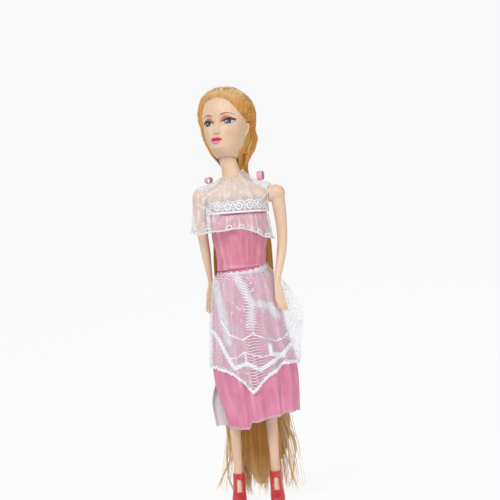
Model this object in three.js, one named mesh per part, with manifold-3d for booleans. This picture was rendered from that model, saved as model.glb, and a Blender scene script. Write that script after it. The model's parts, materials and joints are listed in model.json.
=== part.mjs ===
// Plastic fashion doll in a satin and lace dress, standing on its heeled sandals.
// Millimetres, +Z up, the doll faces -Y and its left hand is at +X.
import * as THREE from 'three';
import { mergeVertices } from 'three/addons/utils/BufferGeometryUtils.js';
import Module from 'manifold-3d';

const wasm = await Module();
wasm.setup();

// Fits
const clearance = 0.3;
const clothThickness = 0.5;
const organzaThickness = 0.4;
const wall = 1.4;

// Heights of the body, each measured up from the one before
const ankleHeight = 24;
const shinLength = 61;
const thighLength = 61;
const waistRise = 22;
const bustRise = 25;
const shoulderRise = 24;
const neckBaseRise = 12;
const neckLength = 14.2;

// Torso
const hipHalfWidth = 16.8;
const hipHalfDepth = 12;
const waistHalfWidth = 12.5;
const waistHalfDepth = 8.5;
const bustHalfWidth = 17.6;
const bustFront = 14.4;
const bustBack = 9.2;
const shoulderHalfWidth = 21.2;
const shoulderHalfDepth = 7.4;
const neckRadius = 6.5;
const neckPlaceX = -1.8;
const neckLeanX = -2.8;
const crotchHalfWidth = 6;
const crotchDrop = 9;

// Joints
const headLean = 3;
const headTipBack = 8;
const headTurn = 23;
const headForward = 2.5;
const headSeatRise = 1.8;
const knobRadius = 5.5;
const knobHeight = 6;
const neckGrooveRadius = 4.1;
const neckGrooveHeight = 3.4;
const shoulderPegRadius = 2.3;
const shoulderPegHeadRadius = 3.6;
const hipPegRadius = 2.4;
const hipPegHeadRadius = 3.7;
const pegHeadThickness = 1.2;
const pegRunningGap = 0.3;
const hipHubRadius = 11.4;

// Head
const headHeight = 45.5;
const faceHalfWidth = 14.6;
const jawHalfWidth = 7.6;
const skullHalfWidth = 16;
const skullBack = 18;
const foreheadReach = 15.4;
const noseLength = 3.4;
const headWall = 1.8;
const earHeight = 9;
const earRimRadius = 0.75;
const hairDepth = 5;
const crownHairDepth = 3;

// Arms
const shoulderDomeRadius = 6.3;
const leftShoulderReach = 34;
const rightShoulderReach = 31;
const upperArmLength = 31;
const forearmLength = 30.5;
const handLength = 21;
const elbowHalfWidth = 3.6;
const wristHalfWidth = 2.25;
const palmHalfWidth = 3.4;
const fingerRadius = 0.85;

// Legs and feet
const footPlaceX = 13;
const thighHalfWidth = 8.2;
const kneeHalfWidth = 5;
const calfHalfWidth = 4.3;
const ankleHalfWidth = 3;
const footHalfWidth = 3.9;

// Sandals
const shoeWall = 0.9;
const shoeTop = 22.4;
const strapWidth = 3.6;
const vampTop = 10.5;
const windowHalfWidth = 2;
const windowBackY = 3.4;
const toeReach = 15;
const soleWidth = 6.8;
const soleThickness = 1.4;
const soleShiftX = 0.2;
const heelHeight = 9.5;
const heelTipLength = 2.6;
const heelTopRadius = 2.3;
const heelPlaceY = 6.4;

// Dress
const bodiceRise = 14;
const bodiceBelowWaist = 2.5;
const bodiceWaistHalfWidth = 17;
const bodiceBustHalfWidth = 19.9;
const bodiceLap = 12;
const closureThickness = 0.5;
const trimWidth = 8.5;
const trimScallops = 26;
const ruffleLength = 17;
const ruffleWaves = 11;
const ruffleEdgeRadius = 0.5;
const strapRibbonWidth = 4;
const leftRibbonSize = 6.4;
const rightRibbonSize = 5.4;
const ribbonSeatLift = 0.2;
const skirtLength = 113;
const skirtHemRise = 10.5;
const skirtHalfWidth = 28.4;
const skirtHalfDepth = 16;
const skirtSway = 6.5;
const skirtFolds = 13;
const skirtFoldDepth = 1.1;
const hemHeight = 1.4;
const overskirtLength = 69;
const overskirtPoint = 17;
const overskirtPointTurn = 26;
const overskirtWrapShare = 0.86;
const overskirtFlare = 14;

// Hair fall
const hairFallBelowNeckTop = 3.6;
const hairTipHeight = 2.5;
const hairFallThickness = 4.5;
const hairFallHalfWidth = 21;
const hairTipHalfWidth = 31;

const kneeHeight = ankleHeight + shinLength;
const hipHeight = kneeHeight + thighLength;
const waistHeight = hipHeight + waistRise;
const bustHeight = waistHeight + bustRise;
const shoulderHeight = bustHeight + shoulderRise;
const neckBaseHeight = shoulderHeight + neckBaseRise;
const neckTopHeight = neckBaseHeight + neckLength;
const bodiceTop = bustHeight + bodiceRise;
const bodiceBottom = waistHeight - bodiceBelowWaist;
const hairFallTop = neckTopHeight - hairFallBelowNeckTop;
const roomAbove = neckTopHeight + headHeight + 12;
const degrees = Math.PI / 180;

// Shapes shared by the pieces

function between(low, high, value) {
  const t = Math.min(Math.max((value - low) / (high - low), 0), 1);
  return t * t * (3 - 2 * t);
}

function hump(value, centre, spread) {
  return Math.exp(-(((value - centre) / spread) ** 2));
}

// Reads a list of stations, each [place, value, value, ...], as a smooth curve.
function along(stations, place) {
  let i = 1;
  while (i < stations.length - 1 && stations[i][0] < place) i += 1;
  const [p, q] = [stations[i - 1], stations[i]];
  const before = stations[i - 2] ?? p;
  const after = stations[i + 1] ?? q;
  const span = q[0] - p[0];
  const t = Math.min(Math.max((place - p[0]) / span, 0), 1);
  return q.slice(1).map((end, k) => {
    const start = p[k + 1];
    const slopeIn = ((end - before[k + 1]) / (q[0] - before[0])) * span;
    const slopeOut = ((after[k + 1] - start) / (after[0] - p[0])) * span;
    const a = 2 * start - 2 * end + slopeIn + slopeOut;
    const b = -3 * start + 3 * end - 2 * slopeIn - slopeOut;
    return ((a * t + b) * t + slopeIn) * t + start;
  });
}

function rounded(value, power) {
  return Math.sign(value) * Math.abs(value) ** power;
}

function meshGeometry(points, faces) {
  const geometry = new THREE.BufferGeometry();
  geometry.setAttribute('position', new THREE.Float32BufferAttribute(points.flat(), 3));
  geometry.setIndex(faces.flat());
  return geometry;
}

// A closed solid, turned right way out, from any closed geometry.
function solid(geometry) {
  const bare = geometry.clone();
  bare.deleteAttribute('normal');
  bare.deleteAttribute('uv');
  const merged = mergeVertices(bare, 1e-4);
  const build = (flip) => {
    const triVerts = new Uint32Array(merged.index.array);
    if (flip) {
      for (let i = 0; i < triVerts.length; i += 3) {
        [triVerts[i], triVerts[i + 1]] = [triVerts[i + 1], triVerts[i]];
      }
    }
    const vertProperties = new Float32Array(merged.attributes.position.array);
    return new wasm.Manifold(new wasm.Mesh({ numProp: 3, vertProperties, triVerts }));
  };
  const first = build(false);
  return first.volume() > 0 ? first : build(true);
}

// Rings of equal length, joined in order and closed at both ends.
function loft(rings) {
  const count = rings[0].length;
  const points = rings.flat();
  const faces = [];
  for (let r = 0; r < rings.length - 1; r += 1) {
    for (let i = 0; i < count; i += 1) {
      const a = r * count + i;
      const b = r * count + ((i + 1) % count);
      faces.push([a, b, b + count], [a, b + count, a + count]);
    }
  }
  for (const last of [false, true]) {
    const ring = last ? rings[rings.length - 1] : rings[0];
    const start = last ? (rings.length - 1) * count : 0;
    const middle = [0, 1, 2].map((k) => ring.reduce((sum, p) => sum + p[k], 0) / count);
    const centre = points.push(middle) - 1;
    for (let i = 0; i < count; i += 1) {
      const pair = [start + i, start + ((i + 1) % count)];
      faces.push(last ? [pair[0], pair[1], centre] : [pair[1], pair[0], centre]);
    }
  }
  return solid(meshGeometry(points, faces));
}

// A limb swept along stations [step, x, y, z, half width, half depth].
function limb(stations, rings, sides, puff = 0) {
  const first = stations[0][0];
  const last = stations[stations.length - 1][0];
  const list = [];
  for (let r = 0; r <= rings; r += 1) {
    const step = first + ((last - first) * r) / rings;
    const [x, y, z, wide, deep] = along(stations, step);
    const ahead = along(stations, Math.min(step + 0.02, last));
    const behind = along(stations, Math.max(step - 0.02, first));
    const run = new THREE.Vector3(ahead[0] - behind[0], ahead[1] - behind[1], ahead[2] - behind[2]);
    run.normalize();
    const side = new THREE.Vector3(1, 0, 0).addScaledVector(run, -run.x).normalize();
    const front = new THREE.Vector3().crossVectors(run, side);
    const ring = [];
    for (let i = 0; i < sides; i += 1) {
      const turn = (2 * Math.PI * i) / sides;
      const p = new THREE.Vector3(x, y, z)
        .addScaledVector(side, Math.cos(turn) * (wide + puff))
        .addScaledVector(front, Math.sin(turn) * (deep + puff));
      ring.push(p.toArray());
    }
    list.push(ring);
  }
  return loft(list);
}

// A thin sheet of cloth: place(across, down) gives its outer face, both from 0 to 1.
function cloth({ place, columns, rows, thickness = clothThickness, round = false }) {
  const stride = round ? columns : columns + 1;
  const outer = [];
  const inner = [];
  for (let r = 0; r <= rows; r += 1) {
    for (let c = 0; c < stride; c += 1) {
      const u = c / columns;
      const v = r / rows;
      const step = 0.002;
      const p = new THREE.Vector3(...place(u, v));
      const across = new THREE.Vector3(...place(u + step, v));
      across.sub(new THREE.Vector3(...place(u - step, v)));
      const down = new THREE.Vector3(...place(u, Math.min(v + step, 1)));
      down.sub(new THREE.Vector3(...place(u, Math.max(v - step, 0))));
      const normal = across.cross(down).normalize();
      outer.push(p.toArray());
      inner.push(p.clone().addScaledVector(normal, thickness).toArray());
    }
  }
  const faces = [];
  const back = outer.length;
  const quad = (a, b, c, d) => faces.push([a, b, c], [a, c, d]);
  for (let r = 0; r < rows; r += 1) {
    for (let c = 0; c < columns; c += 1) {
      const a = r * stride + c;
      const b = r * stride + ((c + 1) % stride);
      quad(a, b, b + stride, a + stride);
      quad(back + a, back + a + stride, back + b + stride, back + b);
    }
    if (!round) {
      const left = r * stride;
      const right = left + columns;
      quad(left, left + stride, back + left + stride, back + left);
      quad(right + stride, right, back + right, back + right + stride);
    }
  }
  for (let c = 0; c < columns; c += 1) {
    const a = c;
    const b = (c + 1) % stride;
    const low = rows * stride;
    quad(b, a, back + a, back + b);
    quad(low + a, low + b, back + low + b, back + low + a);
  }
  return solid(meshGeometry([...outer, ...inner], faces));
}

function block(low, high) {
  const size = high.map((value, k) => value - low[k]);
  const box = new THREE.BoxGeometry(...size);
  box.translate(...high.map((value, k) => (value + low[k]) / 2));
  return solid(box);
}

// A turned piece: profile [radius, place] along the +X axis through a centre.
function turnedAlongX(profile, centre, sides = 18) {
  const shape = new THREE.LatheGeometry(profile.map(([r, x]) => new THREE.Vector2(r, x)), sides);
  shape.rotateZ(-90 * degrees);
  shape.translate(...centre);
  return solid(shape);
}

function rodAlongX(radius, from, to, centre, sides = 18) {
  return turnedAlongX([[0, from], [radius, from], [radius, to], [0, to]], centre, sides);
}

const doll = new THREE.Group();

function addPiece(name, body, look, parent = doll) {
  const mesh = body.getMesh();
  const points = [];
  for (let i = 0; i < mesh.vertProperties.length; i += mesh.numProp) {
    points.push(Array.from(mesh.vertProperties.slice(i, i + 3)));
  }
  const geometry = meshGeometry(points, [Array.from(mesh.triVerts)]);
  geometry.computeVertexNormals();
  const piece = new THREE.Mesh(geometry, look);
  piece.name = name;
  parent.add(piece);
  return piece;
}

function look(color, roughness, metalness = 0) {
  return new THREE.MeshStandardMaterial({ color, roughness, metalness });
}

const faceVinyl = look(0xe8cfb6, 0.5);
const bodyPlastic = look(0xe6bf98, 0.42);
const blondHair = look(0xc98f45, 0.45);
const pinkSatin = look(0xdc7fa4, 0.35);
const whiteLace = look(0xf1eff3, 0.8);
const whiteOrganza = look(0xf4f2f2, 0.6);
const whiteLining = look(0xe6e4e8, 0.7);
const pinkRibbon = look(0xe79ab4, 0.4);
const redPlastic = look(0xc93a42, 0.3);
const whiteNylon = look(0xeeeeee, 0.9);

// Torso: hollow front and back halves with half of the neck and knob on each

const hipAxis = [0, 0, hipHeight];
const shoulderAxis = [0, 1, shoulderHeight];
const torsoStations = [
  [hipHeight - crotchDrop, 5.5, 7.5, 7.5],
  [hipHeight - 4, 12, 10.5, 10.5],
  [hipHeight + 4, hipHalfWidth, hipHalfDepth, hipHalfDepth + 0.3],
  [hipHeight + 0.6 * waistRise, 14.2, 10.2, 9],
  [waistHeight, waistHalfWidth, waistHalfDepth, waistHalfDepth - 1.8],
  [waistHeight + 0.4 * bustRise, 14, 9.6, 8],
  [bustHeight - 7, bustHalfWidth - 1.6, 12.2, 8.6],
  [bustHeight, bustHalfWidth, bustFront, bustBack],
  [bustHeight + 0.3 * shoulderRise, bustHalfWidth + 0.2, 11.6, bustBack],
  [bustHeight + 0.62 * shoulderRise, shoulderHalfWidth - 2.4, 8.4, 8.6],
  [shoulderHeight, shoulderHalfWidth + 2.6, shoulderHalfDepth, 8.2],
  [shoulderHeight + 0.42 * neckBaseRise, shoulderHalfWidth - 1, 6, 7.4],
  [shoulderHeight + 0.7 * neckBaseRise, 12.5, 6.2, 7],
  [neckBaseHeight, neckRadius + 1.4, neckRadius + 0.6, neckRadius + 0.8],
  [neckBaseHeight + 0.3 * neckLength, neckRadius, neckRadius, neckRadius],
  [neckBaseHeight + 0.8 * neckLength, neckRadius - 0.2, neckRadius - 0.2, neckRadius - 0.2],
  [neckTopHeight, neckRadius - 0.4, neckRadius - 0.4, neckRadius - 0.4],
];

// The head's own frame: its foot is on the neck, leaning and tipped back on the knob.
const neckFrame = new THREE.Group();
neckFrame.position.set(neckPlaceX + neckLeanX, 0, neckTopHeight);
neckFrame.rotation.set(-headTipBack * degrees, headLean * degrees, 0);
neckFrame.updateMatrixWorld();
const headAxis = new THREE.Vector3(0, 0, 1).transformDirection(neckFrame.matrixWorld);

function torsoRing(height, puff, sides) {
  const [wide, ahead, behind] = along(torsoStations, height);
  const ring = [];
  const middle = neckPlaceX * between(shoulderHeight, neckBaseHeight, height)
    + neckLeanX * between(neckBaseHeight - 2, neckTopHeight, height);
  const tilt = between(neckTopHeight - 4, neckTopHeight, height) / headAxis.z;
  for (let i = 0; i < sides; i += 1) {
    const turn = (2 * Math.PI * i) / sides;
    const depth = Math.cos(turn) > 0 ? ahead : behind;
    const x = (wide + puff) * Math.sin(turn);
    const y = -(depth + puff) * Math.cos(turn);
    ring.push([middle + x, y, height - tilt * (x * headAxis.x + y * headAxis.y)]);
  }
  return ring;
}

function torsoSolid(bottom, top, puff, rings, sides) {
  const step = (top - bottom) / rings;
  const list = [];
  for (let i = 0; i <= rings; i += 1) list.push(torsoRing(bottom + step * i, puff, sides));
  return loft(list);
}

const knobProfile = [
  [0, -5],
  [neckGrooveRadius, -5],
  [neckGrooveRadius, neckGrooveHeight],
  [knobRadius, neckGrooveHeight + 0.6],
  [knobRadius, neckGrooveHeight + 0.6 + knobHeight * 0.5],
  [knobRadius - 1.6, neckGrooveHeight + knobHeight],
  [0, neckGrooveHeight + knobHeight],
];
const knobShape = new THREE.LatheGeometry(knobProfile.map(([r, z]) => new THREE.Vector2(r, z)), 20);
knobShape.rotateX(90 * degrees);
knobShape.applyMatrix4(neckFrame.matrixWorld);
const knob = solid(knobShape);

const cutReach = 60;
function torsoShell() {
  let body = torsoSolid(hipHeight - crotchDrop, neckTopHeight, 0, 24, 18);
  const inner = shoulderHalfWidth - wall;
  body = body.intersect(block([-shoulderHalfWidth, -cutReach, 0], [shoulderHalfWidth, cutReach, roomAbove]));
  const cavity = torsoSolid(hipHeight - crotchDrop + 2.6, neckBaseHeight - 3, -wall, 12, 14)
    .intersect(block([-inner, -cutReach, 0], [inner, cutReach, roomAbove]));
  let hollow = cavity;
  for (const side of [-1, 1]) {
    const boss = [side * (shoulderHalfWidth - 6), side * shoulderHalfWidth].sort((a, b) => a - b);
    const bossIn = [side * (inner - 6), side * inner].sort((a, b) => a - b);
    body = body.add(rodAlongX(shoulderDomeRadius - 0.5, boss[0], boss[1], shoulderAxis));
    hollow = hollow.add(rodAlongX(shoulderPegHeadRadius + 0.6, bossIn[0], bossIn[1], shoulderAxis));
    const from = side > 0 ? crotchHalfWidth : -cutReach;
    const to = side > 0 ? cutReach : -crotchHalfWidth;
    const bowl = rodAlongX(hipHubRadius + clearance, from, to, hipAxis);
    const below = block([from, -cutReach, 0], [to, cutReach, hipHeight]);
    body = body.subtract(bowl).subtract(below);
    const fromIn = side > 0 ? crotchHalfWidth - wall : -cutReach;
    const toIn = side > 0 ? cutReach : -(crotchHalfWidth - wall);
    const bowlIn = rodAlongX(hipHubRadius + clearance + wall, fromIn, toIn, hipAxis);
    const belowIn = block([fromIn, -cutReach, 0], [toIn, cutReach, hipHeight]);
    hollow = hollow.subtract(bowlIn).subtract(belowIn);
  }
  // Below the axis the crotch stays inside the swing of the thighs
  const crotchRound = rodAlongX(hipHubRadius + 0.4, -crotchHalfWidth, crotchHalfWidth, hipAxis);
  const upper = block([-cutReach, -cutReach, hipHeight], [cutReach, cutReach, roomAbove]);
  body = body.intersect(crotchRound.add(upper));
  body = body.subtract(hollow);
  const shoulderHole = shoulderPegRadius + pegRunningGap;
  const hipHole = hipPegRadius + pegRunningGap;
  body = body.subtract(rodAlongX(shoulderHole, -cutReach, cutReach, shoulderAxis));
  body = body.subtract(rodAlongX(hipHole, -cutReach, cutReach, hipAxis));
  return body.add(knob);
}

const torso = torsoShell();
const seam = clearance / 2;
const frontHalf = block([-cutReach, -cutReach, 0], [cutReach, -seam, roomAbove]);
const backHalf = block([-cutReach, seam, 0], [cutReach, cutReach, roomAbove]);
addPiece('torso_front', torso.intersect(frontHalf), bodyPlastic);
addPiece('torso_back', torso.intersect(backHalf), bodyPlastic);

// Head: hollow vinyl shell with brow, eye sockets, nose, lips, chin and ears

const headStations = [
  [-1.5, jawHalfWidth - 0.6, 7.2, 9.4],
  [0, jawHalfWidth, 11.6, 10],
  [2.5, jawHalfWidth + 1.3, 14, 11.2],
  [6, jawHalfWidth + 3.4, 14.7, 12.6],
  [11, faceHalfWidth - 1.4, 14.9, 13.5],
  [16, faceHalfWidth, 14.7, 15.8],
  [21, skullHalfWidth - 1, 14.4, 17.4],
  [27, skullHalfWidth, foreheadReach, skullBack],
  [33, skullHalfWidth - 0.6, foreheadReach - 0.8, skullBack - 0.6],
  [38.5, 13, 12.2, 15.4],
  [42.5, 9, 8.4, 10.8],
  [headHeight - 0.7, 4.4, 4.2, 5.4],
  [headHeight, 0.6, 0.6, 0.6],
];
const chinHeight = 2;
const mouthHeight = 8.6;
const noseHeight = 14;
const eyeHeight = 21.4;
const eyeSpread = 7;

function faceRelief(x, z) {
  const width = Math.abs(x);
  const bridge = 1.5 * hump(x, 0, 1.9) * between(eyeHeight + 4, noseHeight + 1, z);
  const tip = (noseLength - 1.2) * hump(x, 0, 1.9) * hump(z, noseHeight, 1.7);
  const wings = 0.7 * hump(width, 1.9, 1) * hump(z, noseHeight - 0.6, 1.2);
  const upperLip = 1 * hump(x, 0, 3) * hump(z, mouthHeight + 1.3, 1);
  const lowerLip = 1.15 * hump(x, 0, 2.6) * hump(z, mouthHeight - 1.2, 1.1);
  const chin = 1.3 * hump(x, 0, 3.4) * hump(z, chinHeight, 2.4);
  const socket = -1.1 * hump(width, eyeSpread, 3) * hump(z, eyeHeight, 2.6);
  const cheek = 0.5 * hump(width, eyeSpread + 1, 3.4) * hump(z, noseHeight + 0.5, 4);
  return (bridge * (z > noseHeight - 1.5) + tip + wings + upperLip + lowerLip + chin + socket + cheek);
}

function headPoint(level, turn, puff, relief) {
  const [wide, face, nape] = along(headStations, level);
  const side = Math.sin(turn);
  const ahead = Math.cos(turn);
  const x = (wide + puff) * rounded(side, 0.94);
  const reach = (ahead > 0 ? face : nape) + puff;
  let y = -reach * rounded(ahead, 0.94);
  if (relief && ahead > 0) y -= faceRelief(x, level) * between(0, 0.5, ahead);
  const lift = puff * between(30, headHeight, level) - puff * 0.4 * between(3, -1.5, level);
  return [x, y, level + lift];
}

function headSolid({ from, to, rings, sides, puff, relief }) {
  const list = [];
  for (let r = 0; r <= rings; r += 1) {
    const level = from + ((to - from) * r) / rings;
    const ring = [];
    for (let i = 0; i < sides; i += 1) {
      const turn = (2 * Math.PI * i) / sides;
      ring.push(headPoint(level, turn, typeof puff === 'function' ? puff(level, turn) : puff, relief));
    }
    list.push(ring);
  }
  return loft(list);
}

const skull = headSolid({ from: -1.5, to: headHeight, rings: 28, sides: 28, puff: 0, relief: true });
const skullHollow = headSolid({ from: 1, to: headHeight - 2, rings: 7, sides: 12, puff: -headWall });
const neckHoleRadius = neckGrooveRadius + clearance;
const neckHole = new THREE.CylinderGeometry(neckHoleRadius, neckHoleRadius, 8, 20);
neckHole.rotateX(90 * degrees);
neckHole.translate(0, headForward, 0);

function earSolid(side) {
  const rim = new THREE.TorusGeometry(earHeight / 2 - 0.9, earRimRadius, 6, 12);
  rim.rotateY(90 * degrees);
  rim.scale(1, 0.55, 1);
  rim.rotateX(-14 * degrees);
  rim.rotateZ(side * 18 * degrees);
  rim.translate(side * (faceHalfWidth + 0.2), 2.2, 17);
  return solid(rim);
}

const headShell = skull
  .add(earSolid(1))
  .add(earSolid(-1))
  .subtract(skullHollow)
  .subtract(solid(neckHole));

// Hair on the scalp: it grows thicker back from the hairline, given as a turn from the face at each level
const hairlineTaper = 34;
const hairlineStations = [
  [-2, 114],
  [8, 114],
  [14, 110],
  [19, 104],
  [22.5, 80],
  [25, 64],
  [28, 54],
  [34.5, 38],
  [37, 24],
  [38.7, 0],
  [headHeight, -hairlineTaper],
];

function scalpHair(level, turn) {
  const fromFront = Math.abs(((turn / degrees + 540) % 360) - 180);
  const [hairline] = along(hairlineStations, level);
  const fullDepth = hairDepth + (crownHairDepth - hairDepth) * between(32, headHeight, level);
  return -0.8 + (fullDepth + 0.8) * between(hairline - 4, hairline + hairlineTaper, fromFront);
}

const hairOuter = headSolid({ from: -1.4, to: headHeight, rings: 14, sides: 24, puff: scalpHair });
const scalpFit = (level) => clearance + 0.25 + 0.5 * between(34, 42, level);
const scalp = headSolid({ from: -1.5, to: headHeight, rings: 14, sides: 24, puff: scalpFit });
const neckRoom = neckRadius + 2 * clearance;
const scalpRoom = scalp.add(block([-neckRoom, -neckRoom, -8], [neckRoom, neckRoom + headForward, 4]));
const earRoom = block([-faceHalfWidth - 3, -1, 11], [faceHalfWidth + 3, 5.5, 22.5]);
const head = new THREE.Group();
neckFrame.add(head);
head.rotation.z = -headTurn * degrees;
doll.add(neckFrame);
const headSeat = new THREE.Group();
headSeat.position.set(0, -headForward, headSeatRise);
head.add(headSeat);
addPiece('head_shell', headShell, faceVinyl, headSeat);
addPiece('hair_cap', hairOuter.subtract(scalpRoom).subtract(earRoom), blondHair, headSeat);

// Arms: one moulding each, with the shoulder dome, the peg and a hand with four fingers and a thumb

const elbowLevel = shoulderHeight - upperArmLength;
const wristLevel = elbowLevel - forearmLength;
const palmLevel = wristLevel - 0.52 * handLength;
const fingertipLevel = wristLevel - handLength;
const upperArm = (share) => shoulderHeight - upperArmLength * share;
const forearm = (share) => elbowLevel - forearmLength * share;
const armRuns = {
  left: {
    side: 1,
    reach: leftShoulderReach,
    stations: [
      [0, leftShoulderReach - 5.8, 1, shoulderHeight + 3.5, 4.4, 4.4],
      [1, leftShoulderReach - 5.2, 1, upperArm(0.16), 4.9, 5],
      [2, leftShoulderReach - 4.4, 1, upperArm(0.55), 4.3, 4.4],
      [3, leftShoulderReach - 4.2, 1.2, elbowLevel, elbowHalfWidth, elbowHalfWidth + 0.1],
      [4, leftShoulderReach - 5.7, 0, forearm(0.36), elbowHalfWidth - 0.2, elbowHalfWidth],
      [5, leftShoulderReach - 8.4, -3.4, forearm(0.75), 2.7, 2.9],
      [6, leftShoulderReach - 10.2, -6.4, wristLevel, wristHalfWidth, wristHalfWidth + 0.2],
      [7, leftShoulderReach - 9.9, -8.4, wristLevel - 0.28 * handLength, palmHalfWidth - 0.1, 1.8],
      [8, leftShoulderReach - 9.1, -9.6, palmLevel, palmHalfWidth, 1.5],
    ],
    fingertip: [leftShoulderReach - 7.1, -10.6, fingertipLevel],
  },
  right: {
    side: -1,
    reach: rightShoulderReach,
    stations: [
      [0, rightShoulderReach - 4.4, 1, shoulderHeight + 3.5, 4.2, 4.4],
      [1, rightShoulderReach - 4.4, 1.2, upperArm(0.16), 4.6, 5],
      [2, rightShoulderReach - 4.6, 2.2, upperArm(0.55), 4.1, 4.4],
      [3, rightShoulderReach - 5.6, 4.4, elbowLevel, elbowHalfWidth, elbowHalfWidth + 0.1],
      [4, rightShoulderReach - 6.8, 7, forearm(0.36), elbowHalfWidth - 0.3, elbowHalfWidth],
      [5, rightShoulderReach - 8.1, 10, forearm(0.72), 2.7, 2.9],
      [6, rightShoulderReach - 8.6, 12.2, wristLevel + 1, wristHalfWidth, wristHalfWidth + 0.2],
      [7, rightShoulderReach - 7.8, 13.8, wristLevel + 1 - 0.28 * handLength, palmHalfWidth - 0.1, 1.8],
      [8, rightShoulderReach - 7.2, 14.8, palmLevel + 1, palmHalfWidth, 1.5],
    ],
    fingertip: [rightShoulderReach - 6.4, 15.6, fingertipLevel + 1],
  },
};

function handFingers({ stations, fingertip }) {
  const [, x, y, z] = stations[8];
  const spread = [-2.3, -0.8, 0.8, 2.3];
  const shares = [0.78, 0.95, 1, 0.88];
  const fingers = spread.map((across, i) => {
    const reach = shares[i];
    const tip = fingertip.map((value, k) => stations[8][k + 1] + (value - stations[8][k + 1]) * reach);
    const tips = [tip[0] + across * 0.45, tip[1], tip[2]];
    return limb([
      [0, x + across, y, z + 2.5, fingerRadius, fingerRadius],
      [1, (x + tips[0] + across) / 2, (y + tips[1]) / 2 - 0.3, (z + tips[2]) / 2, fingerRadius, fingerRadius],
      [2, ...tips, fingerRadius * 0.55, fingerRadius * 0.55],
    ], 2, 6);
  });
  const thumb = limb([
    [0, x - 2.2, y + 0.4, z + 4.6, 1.2, 1.2],
    [1, x - 3.5, y - 0.4, z + 1.6, 1, 1],
    [2, x - 3.3, y - 1, z - 1.6, 0.6, 0.6],
  ], 2, 6);
  return fingers.reduce((sum, finger) => sum.add(finger), thumb);
}

function armSolid(run) {
  const inner = shoulderHalfWidth + clearance;
  const r = shoulderDomeRadius;
  const dome = turnedAlongX([
    [0, inner],
    [r - 0.6, inner],
    [r, inner + 1.6],
    [r, run.reach - 5.6],
    [r - 1.4, run.reach - 2.2],
    [r - 3.6, run.reach - 0.5],
    [0, run.reach],
  ], shoulderAxis);
  const headEnd = shoulderHalfWidth - wall - clearance;
  const headStart = headEnd - pegHeadThickness;
  const peg = rodAlongX(shoulderPegRadius, headStart, inner + 1, shoulderAxis, 12)
    .add(rodAlongX(shoulderPegHeadRadius, headStart, headEnd, shoulderAxis, 12));
  const arm = limb(run.stations, 16, 10).add(dome).add(peg).add(handFingers(run));
  return run.side > 0 ? arm : arm.mirror([1, 0, 0]);
}

addPiece('arm_left', armSolid(armRuns.left), bodyPlastic);
addPiece('arm_right', armSolid(armRuns.right), bodyPlastic);

// Legs: one moulding each, standing on tiptoe for the heels

const footStations = [
  [7, footPlaceX, 4.4, ankleHeight, ankleHalfWidth, ankleHalfWidth + 0.4],
  [8, footPlaceX, 4.2, ankleHeight - 6.5, ankleHalfWidth + 0.1, 4.2],
  [9, footPlaceX + 0.1, 1.6, 12, footHalfWidth - 0.5, 4.2],
  [10, footPlaceX + 0.3, -3.4, 7.6, footHalfWidth - 0.1, 2.9],
  [11, footPlaceX + 0.4, -8.6, 4.7, footHalfWidth, 1.9],
  [12, footPlaceX + 0.4, -12.4, 3.4, footHalfWidth - 1.3, 1.2],
];
const legStations = [
  [0, 9.8, 0.6, hipHeight + 12, thighHalfWidth - 1.6, 9.4],
  [1, 10.3, 0.4, hipHeight, thighHalfWidth, 9.8],
  [2, 11, 0, hipHeight - 0.26 * thighLength, thighHalfWidth - 0.2, 8.8],
  [3, 11.8, -0.4, hipHeight - 0.63 * thighLength, 6.4, 7],
  [4, 12.4, -0.2, kneeHeight, kneeHalfWidth, kneeHalfWidth + 0.3],
  [5, 12.8, 1.8, kneeHeight - 0.34 * shinLength, calfHalfWidth, calfHalfWidth + 0.7],
  [6, footPlaceX, 3.4, kneeHeight - 0.67 * shinLength, 3.6, 3.9],
  ...footStations,
];

function legSolid() {
  const inner = crotchHalfWidth + clearance;
  const swing = rodAlongX(hipHubRadius + 0.4 + clearance, -cutReach, inner, hipAxis);
  const hub = rodAlongX(hipHubRadius, -cutReach, cutReach, hipAxis, 32);
  const above = block([-cutReach, -cutReach, hipHeight], [cutReach, cutReach, roomAbove]).subtract(hub);
  const headEnd = crotchHalfWidth - wall - clearance;
  const headStart = headEnd - pegHeadThickness;
  const peg = rodAlongX(hipPegRadius, headStart, inner + 1, hipAxis, 12)
    .add(rodAlongX(hipPegHeadRadius, headStart, headEnd, hipAxis, 12));
  return limb(legStations, 20, 12).subtract(swing).subtract(above).add(peg);
}

const leg = legSolid();
addPiece('leg_left', leg, bodyPlastic);
addPiece('leg_right', leg.mirror([1, 0, 0]), bodyPlastic);

// Sandals: ankle strap, two side straps round an open window, closed toe, wedge sole and heel

function soleOutline() {
  const outline = new THREE.Shape();
  const half = soleWidth / 2;
  outline.moveTo(-half, half - toeReach);
  outline.absarc(0, half - toeReach, half, Math.PI, 2 * Math.PI, false);
  outline.lineTo(half, heelPlaceY + 2);
  outline.absarc(0, heelPlaceY, heelTopRadius, 0.3 * Math.PI, 0.7 * Math.PI, false);
  outline.lineTo(-half, heelPlaceY + 2);
  return outline;
}

function soleProfile() {
  const seat = heelHeight - 2;
  const profile = new THREE.Shape();
  profile.moveTo(-toeReach, 0);
  profile.lineTo(-4.8, 0);
  profile.quadraticCurveTo(-2.4, 0.6, 0, 4);
  profile.quadraticCurveTo(2, seat - 0.4, 5, seat);
  profile.lineTo(heelPlaceY + 2, seat);
  profile.lineTo(heelPlaceY + 2.2, seat + 4.4);
  profile.lineTo(3, seat + 3);
  profile.lineTo(-3, soleThickness + 3.6);
  profile.lineTo(-8, soleThickness + 1.2);
  profile.lineTo(-toeReach, soleThickness);
  return profile;
}

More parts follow.
